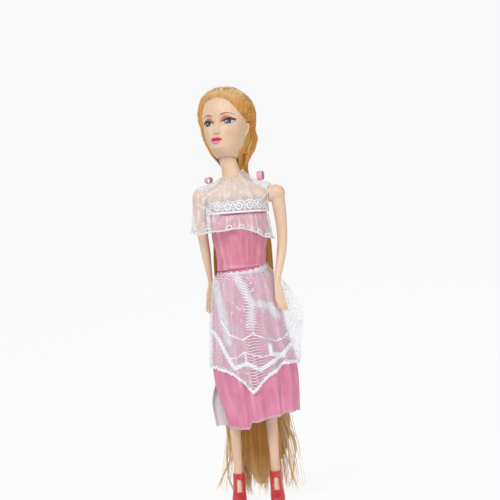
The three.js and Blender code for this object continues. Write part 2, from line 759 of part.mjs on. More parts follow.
function sandalSolid() {
  const skin = clearance + shoeWall;
  const toe = [13, footPlaceX + 0.4, -toeReach + 0.6, 2.9, 1.4, 0.6];
  const upper = limb([...footStations, toe], 9, 12, skin);
  const foot = limb(legStations, 20, 12, clearance + 0.05);
  const x = footPlaceX;
  const above = block([x - 9, -20, shoeTop], [x + 9, 20, 2 * shoeTop]);
  const windowLow = [x - windowHalfWidth, -12, vampTop];
  const window = block(windowLow, [x + windowHalfWidth, windowBackY, shoeTop - strapWidth]);
  const side = new THREE.ExtrudeGeometry(soleProfile(), {
    depth: soleWidth + 2, bevelEnabled: false, curveSegments: 4,
  });
  side.rotateY(90 * degrees);
  side.rotateX(90 * degrees);
  side.translate(x + soleShiftX - soleWidth / 2 - 1, 0, 0);
  const outline = new THREE.ExtrudeGeometry(soleOutline(), {
    depth: shoeTop, bevelEnabled: false, curveSegments: 8,
  });
  outline.translate(x + soleShiftX, 0, 0);
  const heel = new THREE.CylinderGeometry(heelTopRadius, heelTipLength / 2, heelHeight - 1, 10);
  heel.rotateX(90 * degrees);
  heel.translate(x, heelPlaceY, (heelHeight - 1) / 2);
  const below = block([x - 9, -20, -9], [x + 9, 20, 0]);
  return upper.subtract(above).subtract(window)
    .add(solid(side).intersect(solid(outline)))
    .add(solid(heel))
    .subtract(foot)
    .subtract(below);
}

const sandal = sandalSolid();
addPiece('shoe_left', sandal, redPlastic);
addPiece('shoe_right', sandal.mirror([1, 0, 0]), redPlastic);

// Bodice: one satin sheet that laps over itself at the back, held by hook and loop strips

const bodiceStations = [
  [bodiceBottom - 1, bodiceWaistHalfWidth, 11.6, 10.2],
  [waistHeight + 2, bodiceWaistHalfWidth + 0.1, 11.6, 10.2],
  [waistHeight + 0.44 * bustRise, bodiceWaistHalfWidth + 0.9, 12.8, 10.2],
  [bustHeight - 7, bodiceBustHalfWidth - 0.7, 15, 10.4],
  [bustHeight, bodiceBustHalfWidth, bustFront + 1.4, 10.6],
  [bustHeight + bodiceRise / 2, bodiceBustHalfWidth + 0.2, 14.9, 10.6],
  [bodiceTop, bodiceBustHalfWidth + 0.3, 13.6, 10.2],
  [bodiceTop + 6, bodiceBustHalfWidth + 0.3, 11.6, 9.8],
];
const lapRise = clothThickness + 2 * closureThickness + 3 * clearance;

function bodicePoint(turn, height, off) {
  const [wide, chest, spine] = along(bodiceStations, height);
  const side = Math.sin(turn * degrees);
  const ahead = Math.cos(turn * degrees);
  return [(wide + off) * side, -((ahead > 0 ? chest : spine) + off) * ahead, height];
}

function bodiceCloth(from, to, low, high, off, thickness, columns, rows) {
  const place = (u, v) => {
    const turn = from + (to - from) * u;
    const bottom = typeof low === 'function' ? low(turn) : low;
    const top = typeof high === 'function' ? high(turn) : high;
    return bodicePoint(turn, top + (bottom - top) * v, off(turn));
  };
  return cloth({ place, columns, rows, thickness });
}

const lapTurn = 180 + bodiceLap / 2;
const bodiceEdge = (turn) => bodiceBottom + 0.9 + 1.2 * Math.sin(turn * degrees);
const bodiceOff = (turn) => lapRise * between(150, 180 - bodiceLap / 2 - 2, turn);
addPiece('bodice', bodiceCloth(
  -lapTurn, lapTurn, bodiceEdge, bodiceTop, bodiceOff, clothThickness, 30, 6,
), pinkSatin);
const closureTurn = bodiceLap / 2 - 0.5;
const stripTop = bodiceTop - 3;
const stripBottom = bodiceBottom + 4;
const loopOff = () => clearance + closureThickness;
const hookOff = () => 2 * clearance + 2 * closureThickness;
addPiece('loop_strip', bodiceCloth(
  180 - closureTurn, 180 + closureTurn, stripBottom, stripTop, loopOff, closureThickness, 1, 5,
), whiteNylon);
addPiece('hook_strip', bodiceCloth(
  180 - closureTurn, 180 + closureTurn, stripBottom, stripTop, hookOff, closureThickness, 1, 5,
), whiteNylon);

// Lace trim along the neckline, with a scalloped upper edge
const trimBottom = bodiceTop - 3.2;
const trimTurn = 104;
const trimTop = (turn) => {
  const scallop = Math.abs(Math.sin((turn * trimScallops * 90 * degrees) / trimTurn));
  return trimBottom + trimWidth - 2.6 * between(50, 90, Math.abs(turn)) - 1.2 * (1 - scallop);
};
const trimOff = clothThickness + clearance;
addPiece('neckline_lace', bodiceCloth(
  -trimTurn, trimTurn, trimBottom, trimTop, () => trimOff, clothThickness, 52, 1,
), whiteLace);

// Sheer yoke from the neck over both shoulders

function shoulderReach(turn, leftReach, rightReach) {
  return leftReach + (rightReach - leftReach) * between(0.15, 0.95, -Math.sin(turn * degrees));
}

const yokeNeck = neckBaseHeight + 0.4;
const overShoulder = shoulderHeight + shoulderDomeRadius;
const yokeFront = [[0, neckRadius + 1.7, neckBaseHeight - 1.2], [1, bustFront + 1.6, bodiceTop + 1.6]];
const yokeBack = [[0, neckRadius + 2.7, neckBaseHeight + 1], [1, bustBack + 4.8, bodiceTop + 2.6]];
const yokeLeft = [
  [0, neckRadius + 2.9, yokeNeck],
  [0.4, shoulderHalfWidth - 2.2, overShoulder + 2.7],
  [0.7, leftShoulderReach - 8, overShoulder + 1.9],
  [1, leftShoulderReach - 3.2, overShoulder + 1.7],
];
const yokeRight = [
  [0, neckRadius + 2.9, yokeNeck],
  [0.4, shoulderHalfWidth - 2.2, overShoulder + 2.7],
  [0.72, rightShoulderReach - 3.6, overShoulder + 2.3],
  [0.9, rightShoulderReach + 1.2, shoulderHeight + 4.5],
  [1, rightShoulderReach + 2, shoulderHeight - 2.5],
];

function yokePoint(turn, v) {
  const side = Math.sin(turn * degrees);
  const ahead = Math.cos(turn * degrees);
  const sideways = side * side;
  const [reachY, heightY] = along(ahead > 0 ? yokeFront : yokeBack, v);
  const [reachX, heightX] = along(side > 0 ? yokeLeft : yokeRight, v);
  const height = heightY + (heightX - heightY) * sideways;
  return [neckPlaceX * (1 - v) + reachX * side, 0.8 * sideways - reachY * ahead, height];
}

addPiece('sheer_yoke', cloth({
  place: (u, v) => yokePoint(360 * u, v), columns: 32, rows: 6, round: true,
}), whiteOrganza);

// Sheer ruffle below the trim, with its thread edge

function rufflePoint(turn, v) {
  const side = Math.sin(turn * degrees);
  const ahead = Math.cos(turn * degrees);
  const rightSide = between(0.4, 0.95, -side);
  const wave = Math.cos(turn * ruffleWaves * degrees) * 1.3 * v * (1 - 0.4 * between(0.3, 0.9, side));
  const raised = (side > 0 ? 0 : 10) * rightSide + 3 * between(0.2, 0.9, -ahead) * (1 - rightSide);
  const top = bodiceTop - 3.8 + raised;
  const reachX = shoulderReach(turn, bodiceBustHalfWidth + 1.7, rightShoulderReach + 1.8) + 1.6 * v;
  const reachY = (ahead > 0 ? bustFront + 2 + 4.4 * v : bustBack + 4.2 + v) + (ahead > 0 ? wave : wave * 0.3);
  const length = ruffleLength + 2 * Math.sin(turn * 2 * degrees + 1) + raised * 0.3;
  return [(reachX + wave * 0.6) * side, 0.6 * side * side - reachY * ahead, top - length * v];
}

const ruffleColumns = 5 * ruffleWaves;
addPiece('collar_ruffle', cloth({
  place: (u, v) => rufflePoint(360 * u, v),
  columns: ruffleColumns,
  rows: 3,
  round: true,
  thickness: organzaThickness,
}), whiteOrganza);

const edgePoints = [];
for (let i = 0; i < ruffleColumns; i += 1) {
  const [x, y, z] = rufflePoint((360 * i) / ruffleColumns, 1);
  edgePoints.push(new THREE.Vector3(x, y, z - clearance - ruffleEdgeRadius - 0.1));
}
const edgeRing = edgePoints.map((p, i) => {
  const next = edgePoints[(i + 1) % edgePoints.length];
  const before = edgePoints[(i + edgePoints.length - 1) % edgePoints.length];
  const run = next.clone().sub(before).normalize();
  const out = new THREE.Vector3().crossVectors(run, new THREE.Vector3(0, 0, 1)).normalize();
  const up = new THREE.Vector3().crossVectors(out, run);
  return [0, 1, 2, 3].map((k) => p.clone()
    .addScaledVector(out, Math.cos(k * 90 * degrees) * ruffleEdgeRadius)
    .addScaledVector(up, Math.sin(k * 90 * degrees) * ruffleEdgeRadius)
    .toArray());
});
function closedTube(rings) {
  const sides = rings[0].length;
  const faces = [];
  for (let r = 0; r < rings.length; r += 1) {
    for (let k = 0; k < sides; k += 1) {
      const a = r * sides + k;
      const b = r * sides + ((k + 1) % sides);
      const c = (((r + 1) % rings.length) * sides) + ((k + 1) % sides);
      const d = (((r + 1) % rings.length) * sides) + k;
      faces.push([a, b, c], [a, c, d]);
    }
  }
  return solid(meshGeometry(rings.flat(), faces));
}
addPiece('ruffle_edge', closedTube(edgeRing), whiteNylon);

// Ribbon loops on the shoulders

function ribbonLoop(turn, down, width, height) {
  const seat = yokePoint(turn, down);
  const loop = new THREE.Shape();
  loop.absellipse(0, 0, width / 2, height / 2, 0, 2 * Math.PI);
  const inside = new THREE.Path();
  inside.absellipse(0, 0, width / 2 - clothThickness, height / 2 - clothThickness, 0, 2 * Math.PI);
  loop.holes.push(inside);
  const ribbon = new THREE.ExtrudeGeometry(loop, {
    depth: strapRibbonWidth, bevelEnabled: false, curveSegments: 6,
  });
  ribbon.rotateX(90 * degrees);
  const rest = seat[2] + height / 2 + clearance + ribbonSeatLift;
  ribbon.translate(seat[0], seat[1] + strapRibbonWidth / 2, rest);
  return solid(ribbon);
}

addPiece('ribbon_left', ribbonLoop(90, 0.4, leftRibbonSize, leftRibbonSize), pinkRibbon);
addPiece('ribbon_right', ribbonLoop(-90, 0.34, rightRibbonSize, rightRibbonSize - 0.8), pinkRibbon);

// Satin skirt front, its thread hem and the white back panel

const skirtTop = bodiceBottom + 3;
const skirtHemLeft = skirtTop - skirtLength;
const skirtStations = [
  [skirtHemLeft + 3, skirtSway + 0.4, skirtHalfWidth - 2.6, skirtHalfDepth - 2.8, skirtHalfDepth - 1],
  [hipHeight - 51, skirtSway - 1.6, skirtHalfWidth, skirtHalfDepth - 0.8, skirtHalfDepth],
  [hipHeight - 26, skirtSway - 4, skirtHalfWidth - 3.4, skirtHalfDepth - 0.8, skirtHalfDepth - 0.6],
  [hipHeight, 1, skirtHalfWidth - 6.2, skirtHalfDepth - 1.4, skirtHalfDepth - 0.6],
  [hipHeight + 12, 0, skirtHalfWidth - 8.6, skirtHalfDepth - 2.8, skirtHalfDepth - 1.4],
  [bodiceBottom - 1.8, 0, bodiceWaistHalfWidth - 0.9, 10.7, 9.3],
  [skirtTop, 0, bodiceWaistHalfWidth - 0.9, 10.7, 9.3],
];

function skirtPoint(turn, height, off) {
  const [middle, wide, ahead, behind] = along(skirtStations, height);
  const side = Math.sin(turn * degrees);
  const facing = Math.cos(turn * degrees);
  const depth = skirtFoldDepth * between(bodiceBottom, hipHeight - 26, height);
  const uneven = 0.6 + 0.4 * Math.sin(turn * 3 * degrees);
  const fold = depth * Math.cos(turn * skirtFolds * degrees + 0.6) * uneven;
  const reach = off + fold;
  return [middle + (wide + reach) * side, -((facing > 0 ? ahead : behind) + reach) * facing, height];
}

const skirtTurn = 104;
const gather = 1.45;
const skirtHem = (turn) => {
  const across = (Math.sin(turn * degrees) + 1) / 2;
  return skirtHemLeft + skirtHemRise * between(0.3, 1, across);
};
addPiece('satin_skirt', cloth({
  place: (u, v) => {
    const turn = -skirtTurn + 2 * skirtTurn * u;
    return skirtPoint(turn, skirtTop + (skirtHem(turn) + hemHeight - skirtTop) * v ** gather, 0);
  },
  columns: 40,
  rows: 8,
}), pinkSatin);
addPiece('skirt_hem', cloth({
  place: (u, v) => {
    const turn = -skirtTurn + 2 * skirtTurn * u;
    return skirtPoint(turn, skirtHem(turn) + (hemHeight - clearance) * (1 - v), 0.1);
  },
  columns: 40,
  rows: 1,
  thickness: clothThickness + 0.2,
}), pinkRibbon);
const panelTuck = 6;
const panelTurn = 360 - skirtTurn - 1.5;
addPiece('skirt_back_panel', cloth({
  place: (u, v) => {
    const turn = skirtTurn - panelTuck + (panelTurn - skirtTurn + panelTuck) * u;
    const height = skirtTop + (skirtHemLeft + 1.2 - skirtTop) * v ** gather;
    const [x, y, z] = skirtPoint(turn, height, -clothThickness - 2 * clearance);
    const peek = between(0.8, 1, u) * between(hipHeight - 46, hipHeight - 76, height);
    return [x - 5.4 * peek, y + 1.5 * peek, z];
  },
  columns: 14,
  rows: 8,
}), whiteLining);

// Lace overskirt: a pointed apron of net with a corner standing out at the left hip

const laceTop = bodiceBottom - clearance - 1.2;
const laceTurn = [-100, 92];
const laceHem = (turn) => {
  const fromPoint = Math.abs(turn - 2);
  const side = laceTop - overskirtLength + 3 * Math.sin(turn * 2 * degrees);
  const point = overskirtPoint * Math.max(0, 1 - fromPoint / overskirtPointTurn);
  return side - point - 3 * hump(fromPoint, 36, 14);
};
addPiece('lace_overskirt', cloth({
  place: (u, v) => {
    const main = Math.min(u / overskirtWrapShare, 1);
    const turn = laceTurn[0] + (laceTurn[1] - laceTurn[0]) * main;
    const height = laceTop + (laceHem(turn) - laceTop) * v;
    const off = clothThickness + clearance + 0.5;
    const [x, y, z] = skirtPoint(turn, height, off);
    const past = Math.max(u - overskirtWrapShare, 0) / (1 - overskirtWrapShare);
    const reach = overskirtFlare * past * between(0.02, 0.5, v) * (1 - 0.75 * between(0.55, 1, v));
    const rise = 1.5 * past * (1 - v);
    return [x + reach, y + 2.6 * past, z + rise];
  },
  columns: 44,
  rows: 7,
}), whiteLace);

// Long hair falling behind the back to the feet

const hairFallStations = [
  [hairTipHeight, 2, 17, hairTipHalfWidth, hairFallThickness / 2 + 0.2],
  [ankleHeight + 1, 3, 18, hairTipHalfWidth - 2.5, hairFallThickness / 2 + 0.3],
  [kneeHeight - 0.41 * shinLength, 3, 20.6, hairFallHalfWidth + 3, hairFallThickness / 2],
  [hipHeight - 0.59 * thighLength, 1.5, 21.4, hairFallHalfWidth - 1, hairFallThickness / 2],
  [hipHeight - 6, 1, 20.4, hairFallHalfWidth - 1, hairFallThickness / 2],
  [waistHeight, 1, 18.4, hairFallHalfWidth - 0.5, hairFallThickness / 2],
  [bustHeight - 3, 1.5, 18.4, hairFallHalfWidth - 1.5, hairFallThickness / 2],
  [bodiceTop, 1.6, 17, hairFallHalfWidth - 4.5, hairFallThickness / 2],
  [shoulderHeight + 5, 1.2, 14.2, hairFallHalfWidth - 8.5, hairFallThickness / 2],
  [neckBaseHeight + 3, -0.6, 12.6, hairFallHalfWidth - 11.5, hairFallThickness / 2 + 0.2],
  [hairFallTop, -2, 12.6, hairFallHalfWidth - 11.5, hairFallThickness / 2],
];
const hairSteps = 18;
const hairSides = 14;
const hairRings = [];
for (let r = 0; r <= hairSteps; r += 1) {
  const height = hairTipHeight + ((hairFallTop - hairTipHeight) * r) / hairSteps;
  const [x, y, wide, deep] = along(hairFallStations, height);
  const ring = [];
  for (let i = 0; i < hairSides; i += 1) {
    const turn = (2 * Math.PI * i) / hairSides;
    ring.push([x + wide * rounded(Math.sin(turn), 0.8), y - deep * rounded(Math.cos(turn), 0.8), height]);
  }
  hairRings.push(ring);
}
addPiece('hair_fall', loft(hairRings), blondHair);

// The origin is under the middle of the whole doll, at the floor

doll.updateMatrixWorld(true);
const whole = new THREE.Box3().setFromObject(doll, true);
const middle = whole.getCenter(new THREE.Vector3());
doll.position.set(-middle.x, -middle.y, -whole.min.z);
doll.updateMatrixWorld(true);

function printPlace(name, point) {
  const placed = point.map((value, k) => value + doll.position.getComponent(k));
  console.log(name, placed.map((value) => (value / 1000).toFixed(5)).join(' '));
}
printPlace('neck', neckFrame.position.toArray());
console.log('neck axis', headAxis.toArray().map((value) => value.toFixed(5)).join(' '));
printPlace('shoulders', [shoulderHalfWidth, ...shoulderAxis.slice(1)]);
printPlace('hips', [crotchHalfWidth, ...hipAxis.slice(1)]);
printPlace('left sole', [footPlaceX + soleShiftX, -9, 0]);
printPlace('right sole', [-footPlaceX - soleShiftX, -9, 0]);
console.log('size', whole.getSize(new THREE.Vector3()).toArray().map((value) => value.toFixed(2)).join(' '));

export default doll;
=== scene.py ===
import json
import math
import random
import bpy
from mathutils import Matrix, Vector
from mathutils.bvhtree import BVHTree
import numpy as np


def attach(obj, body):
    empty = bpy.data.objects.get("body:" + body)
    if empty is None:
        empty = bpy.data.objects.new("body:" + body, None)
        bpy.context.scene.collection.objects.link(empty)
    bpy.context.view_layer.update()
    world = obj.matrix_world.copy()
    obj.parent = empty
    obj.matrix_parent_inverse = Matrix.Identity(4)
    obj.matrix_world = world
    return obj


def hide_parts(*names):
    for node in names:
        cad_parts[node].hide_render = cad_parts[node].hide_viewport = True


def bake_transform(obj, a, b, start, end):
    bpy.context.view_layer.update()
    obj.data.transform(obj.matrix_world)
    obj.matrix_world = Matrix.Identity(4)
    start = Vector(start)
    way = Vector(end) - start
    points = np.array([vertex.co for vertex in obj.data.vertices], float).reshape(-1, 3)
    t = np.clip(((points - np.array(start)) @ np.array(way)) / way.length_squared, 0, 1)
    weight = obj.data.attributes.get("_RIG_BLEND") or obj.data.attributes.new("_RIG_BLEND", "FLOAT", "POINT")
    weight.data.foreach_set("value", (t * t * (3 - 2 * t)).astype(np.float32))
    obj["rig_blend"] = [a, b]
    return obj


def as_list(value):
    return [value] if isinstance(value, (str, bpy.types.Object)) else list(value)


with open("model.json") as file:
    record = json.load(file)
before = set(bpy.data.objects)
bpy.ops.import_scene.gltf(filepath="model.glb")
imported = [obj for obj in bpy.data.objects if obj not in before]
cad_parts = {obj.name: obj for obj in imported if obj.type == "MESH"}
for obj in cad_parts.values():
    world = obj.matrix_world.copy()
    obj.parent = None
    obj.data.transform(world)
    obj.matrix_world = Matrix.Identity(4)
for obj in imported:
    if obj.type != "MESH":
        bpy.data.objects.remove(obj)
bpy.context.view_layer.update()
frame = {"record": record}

mm = 0.001
record = frame["record"]
joints = {j["name"]: j for j in record["behaviour"]["joints"]}
leftHip = Vector(joints["left_leg_swing"]["pos_m"])
rightHip = Vector(joints["right_leg_swing"]["pos_m"])
neckFoot = Vector(joints["neck_turn"]["pos_m"])
neckAxis = Vector(joints["neck_turn"]["axis"])
bodyX = (leftHip.x + rightHip.x) / 2
bodyY = leftHip.y


def at(x, y, z):
    # a place in millimetres from the body's own axis and the floor
    return Vector((bodyX + x * mm, bodyY + y * mm, z * mm))


def offBody(place):
    # the other way round: a place in the frame, as millimetres
    return (place - at(0, 0, 0)) / mm


# Helpers for places, curves and objects

def partWay(low, high, share):
    return low + (high - low) * share


def between(low, high, value):
    # 0 below low, 1 above high, smooth between; low may be the larger
    t = min(max((value - low) / (high - low), 0), 1)
    return t * t * (3 - 2 * t)


def sine(degrees):
    return math.sin(math.radians(degrees))


def cosine(degrees):
    return math.cos(math.radians(degrees))


def hump(value, centre, spread):
    return math.exp(-(((value - centre) / spread) ** 2))


def rounded(value, power):
    return math.copysign(abs(value) ** power, value)


def along(stations, place):
    # a smooth curve through stations (place, value, value, ...)
    i = 1
    while i < len(stations) - 1 and stations[i][0] < place:
        i += 1
    p, q = stations[i - 1], stations[i]
    before = stations[i - 2] if i > 1 else p
    after = stations[i + 1] if i + 1 < len(stations) else q
    span = q[0] - p[0]
    t = min(max((place - p[0]) / span, 0), 1)
    found = []
    for k in range(1, len(q)):
        slopeIn = (q[k] - before[k]) / (q[0] - before[0]) * span
        slopeOut = (after[k] - p[k]) / (after[0] - p[0]) * span
        a = 2 * p[k] - 2 * q[k] + slopeIn + slopeOut
        b = -3 * p[k] + 3 * q[k] - 2 * slopeIn - slopeOut
        found.append(((a * t + b) * t + slopeIn) * t + p[k])
    return found


def deselectAll():
    if bpy.context.object and bpy.context.object.mode != "OBJECT":
        bpy.ops.object.mode_set(mode="OBJECT")
    bpy.ops.object.select_all(action="DESELECT")


def only(obj):
    deselectAll()
    bpy.context.view_layer.objects.active = obj
    obj.select_set(True)
    return obj


def addForm(operator, name, **values):
    # one of Blender's own forms under its name
    deselectAll()
    operator(**values)
    obj = bpy.context.object
    obj.name = name
    obj.data.name = name
    return obj


def addBall(name, **values):
    return addForm(bpy.ops.mesh.primitive_uv_sphere_add, name, **values)


def editAll(obj, operator, **values):
    # one edit mode operator on all of a mesh
    only(obj)
    bpy.ops.object.mode_set(mode="EDIT")
    bpy.ops.mesh.select_all(action="SELECT")
    operator(**values)
    bpy.ops.object.mode_set(mode="OBJECT")


def turnOutward(obj):
    editAll(obj, bpy.ops.mesh.normals_make_consistent, inside=False)


def storeVector(obj, name, share):
    # three values for each corner, worked out from its place
    layer = obj.data.attributes.new(name, "FLOAT_VECTOR", "POINT")
    for vertex, item in zip(obj.data.vertices, layer.data):
        item.vector = share(vertex.co)


def finishModifiers(obj):
    only(obj)
    for modifier in list(obj.modifiers):
        bpy.ops.object.modifier_apply(modifier=modifier.name)


def settle(obj, material, body, slotName, nodes=(), smooth=40):
    # place into the mesh, outward faces, finish, body and the nodes it stands for
    only(obj)
    bpy.ops.object.transform_apply(location=True, rotation=True, scale=True)
    turnOutward(obj)
    bpy.ops.object.shade_smooth_by_angle(angle=math.radians(smooth))
    obj.data.materials.clear()
    obj.data.materials.append(material)
    if body:
        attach(obj, body)
    if nodes:
        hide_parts(*nodes)
    return obj


def joinPieces(pieces):
    only(pieces[0])
    for piece in pieces[1:]:
        piece.select_set(True)
    if len(pieces) > 1:
        bpy.ops.object.join()
    return pieces[0]


# Shader maths

def selfFirst(operation):
    return lambda self, *terms: self.maths(operation, self, *terms)


def selfLast(operation):
    return lambda self, other: self.maths(operation, other, self)


class Signal:
    # wraps a socket, so that shader maths reads as plain expressions
    def __init__(self, shop, socket):
        self.shop = shop
        self.socket = socket

    def maths(self, operation, *terms):
        node = self.shop.add("ShaderNodeMath", {"operation": operation}, dict(enumerate(terms)))
        return Signal(self.shop, node.outputs[0])

    __add__, __radd__ = selfFirst("ADD"), selfLast("ADD")
    __sub__, __rsub__ = selfFirst("SUBTRACT"), selfLast("SUBTRACT")
    __mul__, __rmul__ = selfFirst("MULTIPLY"), selfLast("MULTIPLY")
    __truediv__, __rtruediv__ = selfFirst("DIVIDE"), selfLast("DIVIDE")
    __pow__ = selfFirst("POWER")
    __abs__ = selfFirst("ABSOLUTE")
    sine = selfFirst("SINE")
    smaller = selfFirst("MINIMUM")
    larger = selfFirst("MAXIMUM")
    zigzag = selfFirst("PINGPONG")

    def step(self, low, high):
        # 0 below low, 1 above high, smooth between; low may be the larger
        settings = {"interpolation_type": "SMOOTHSTEP"}
        sockets = {"Value": self, "From Min": min(low, high), "From Max": max(low, high)}
        sockets["To Min"], sockets["To Max"] = (0, 1) if low < high else (1, 0)
        node = self.shop.add("ShaderNodeMapRange", settings, sockets)
        return Signal(self.shop, node.outputs["Result"])


class Finish:
    # one material and its nodes
    def __init__(self, name):
        self.material = bpy.data.materials.new(name)
        self.material.use_nodes = True
        self.tree = self.material.node_tree
        self.shader = self.tree.nodes["Principled BSDF"]

    def add(self, kind, settings=None, sockets=None):
        node = self.tree.nodes.new(kind)
        for key, value in (settings or {}).items():
            if key == "stops":
                ramp = node.color_ramp
                while len(ramp.elements) < len(value):
                    ramp.elements.new(0.5)
                for element, (place, colour) in zip(ramp.elements, value):
                    element.position = place
                    element.color = (*colour, 1)
            else:
                setattr(node, key, value)
        for key, value in (sockets or {}).items():
            self.feed(node.inputs[key], value)
        return node

    def feed(self, socket, value):
        if isinstance(value, Signal):
            self.tree.links.new(value.socket, socket)
        elif isinstance(value, (tuple, list)) and socket.type == "RGBA" and len(value) == 3:
            socket.default_value = (*value, 1)
        else:
            socket.default_value = value

    def out(self, node, name=0):
        return Signal(self, node.outputs[name])

    def mix(self, factor, first, second):
        node = self.add("ShaderNodeMix", {"data_type": "RGBA"}, {0: factor, 6: first, 7: second})
        return self.out(node, 2)

    def split(self, vector):
        node = self.add("ShaderNodeSeparateXYZ", None, {0: vector})
        return [self.out(node, k) for k in range(3)]

    def objectPlace(self):
        return self.out(self.add("ShaderNodeTexCoord"), "Object")

    def ownMap(self):
        return self.out(self.add("ShaderNodeUVMap"))

    def attribute(self, name):
        return self.out(self.add("ShaderNodeAttribute", {"attribute_name": name}), "Vector")

    def grain(self, place, scale, detail=3.0, rough=0.5):
        sockets = {"Vector": place, "Scale": scale, "Detail": detail, "Roughness": rough}
        return self.out(self.add("ShaderNodeTexNoise", None, sockets), "Fac")

    def stretched(self, place, scale):
        node = self.add("ShaderNodeMapping", None, {"Vector": place, "Scale": scale})
        return self.out(node)

    def bump(self, height, strength, distance):
        sockets = {"Height": height, "Strength": strength, "Distance": distance}
        return self.out(self.add("ShaderNodeBump", None, sockets))

    def set(self, **values):
        names = {
            "colour": "Base Color", "roughness": "Roughness", "alpha": "Alpha", "normal": "Normal",
            "sheen": "Sheen Weight", "sheenRoughness": "Sheen Roughness", "coat": "Coat Weight",
            "coatRoughness": "Coat Roughness", "anisotropic": "Anisotropic",
            "specular": "Specular IOR Level", "subsurface": "Subsurface Weight",
            "subsurfaceScale": "Subsurface Scale",
        }
        for key, value in values.items():
            self.feed(self.shader.inputs[names[key]], value)
        return self.material


print("stage: frame loaded")

# Floor, backdrop, lamps and camera

stageValues = {
    "paleColour": (0.93, 0.93, 0.93),
    "speckColour": (0.9, 0.9, 0.9),
    "glowShare": 0.87,
    "curveStart": 0.9,
    "curveRadius": 1.6,
    "worldStrength": 0.5,
    "worldColour": (0.96, 0.97, 1.0, 1),
    "lamps": {
        "keyLamp": {"place": (-0.55, -1.0, 1.15), "strength": 11, "size": 0.5},
        "fillLamp": {"place": (1.0, -0.9, 0.5), "strength": 3.4, "size": 0.8},
        "rimLamp": {"place": (0.4, 0.9, 1.1), "strength": 3.0, "size": 0.5},
    },
    "lampAim": 0.15,
    "aim": (6.5, 0, 178.4),
    "distance": 900,
    "pictureWidth": 350,
    "roll": 4.2,
}


def paleSurface():
    # the sweep keeps the doll's shadow, and shows as near white to the camera
    shop = Finish("paleSweepFinish")
    speck = shop.grain(shop.objectPlace(), 40, 2)
    pale = shop.mix(speck, stageValues["paleColour"], stageValues["speckColour"])
    shop.set(colour=pale, roughness=0.7, specular=0.2)
    path = shop.add("ShaderNodeLightPath")
    seen = shop.out(path, "Is Camera Ray").larger(shop.out(path, "Is Glossy Ray"))
    seen = seen.larger(shop.out(path, "Is Transmission Ray"))
    glow = shop.add("ShaderNodeEmission", None, {"Color": (1, 1, 1), "Strength": 1.0})
    blend = shop.add("ShaderNodeMixShader", None, {0: seen * stageValues["glowShare"]})
    shop.tree.links.new(shop.shader.outputs[0], blend.inputs[1])
    shop.tree.links.new(glow.outputs[0], blend.inputs[2])
    shop.tree.links.new(blend.outputs[0], shop.tree.nodes["Material Output"].inputs["Surface"])
    return shop.material


def makeStage():
    # one pale sweep: a floor that curves up into the backdrop
    values = stageValues
    flat = {"x_subdivisions": 4, "y_subdivisions": 80, "size": 8}
    sweepFloor = addForm(bpy.ops.mesh.primitive_grid_add, "sweepFloor", **flat)
    bpy.ops.object.transform_apply(scale=True)
    start, radius = values["curveStart"], values["curveRadius"]
    for vertex in sweepFloor.data.vertices:
        past = max(vertex.co.y - start, 0) / radius
        turn = min(past, math.pi / 2)
        rise = radius * (1 - math.cos(turn)) + radius * max(past - math.pi / 2, 0)
        ahead = min(vertex.co.y, start) + radius * math.sin(turn)
        vertex.co = Vector((vertex.co.x + bodyX, ahead, rise - 0.0002))
    bpy.ops.object.shade_smooth()
    sweepFloor.data.materials.append(paleSurface())

    world = bpy.data.worlds.new("softSky")
    bpy.context.scene.world = world
    world.use_nodes = True
    sky = world.node_tree.nodes["Background"]
    sky.inputs["Color"].default_value = values["worldColour"]
    sky.inputs["Strength"].default_value = values["worldStrength"]

    for name, light in values["lamps"].items():
        deselectAll()
        bpy.ops.object.light_add(type="AREA", location=light["place"])
        lamp = bpy.context.object
        lamp.name = name
        lamp.data.energy = light["strength"]
        lamp.data.size = light["size"]
        aim = Vector((bodyX, 0, values["lampAim"])) - Vector(light["place"])
        lamp.rotation_euler = aim.to_track_quat("-Z", "Y").to_euler()

    aim = at(*values["aim"])
    bpy.ops.object.camera_add(location=aim - Vector((0, values["distance"] * mm, 0)))
    camera = bpy.context.object
    camera.name = "photoCamera"
    camera.rotation_euler = (math.radians(90), math.radians(values["roll"]), 0)
    camera.data.sensor_width = 36
    camera.data.lens = 36 * values["distance"] / values["pictureWidth"]
    camera.data.clip_start = 0.01
    bpy.context.scene.camera = camera
    bpy.context.scene.view_settings.view_transform = "Standard"


makeStage()
print("stage: floor, lamps and camera")


# Swept forms: a ring is drawn, then extruded, turned and sized from station to station

def turnSelected(angle, axis, centre):
    # with no window the operator turns the other way
    bpy.ops.transform.rotate(
        value=-angle, orient_axis=axis, orient_type="GLOBAL", center_override=centre,
    )


def ringTilt(run):
    run = run if run.z > 0 else -run
    return math.asin(-run.y), math.atan2(run.x, run.z)


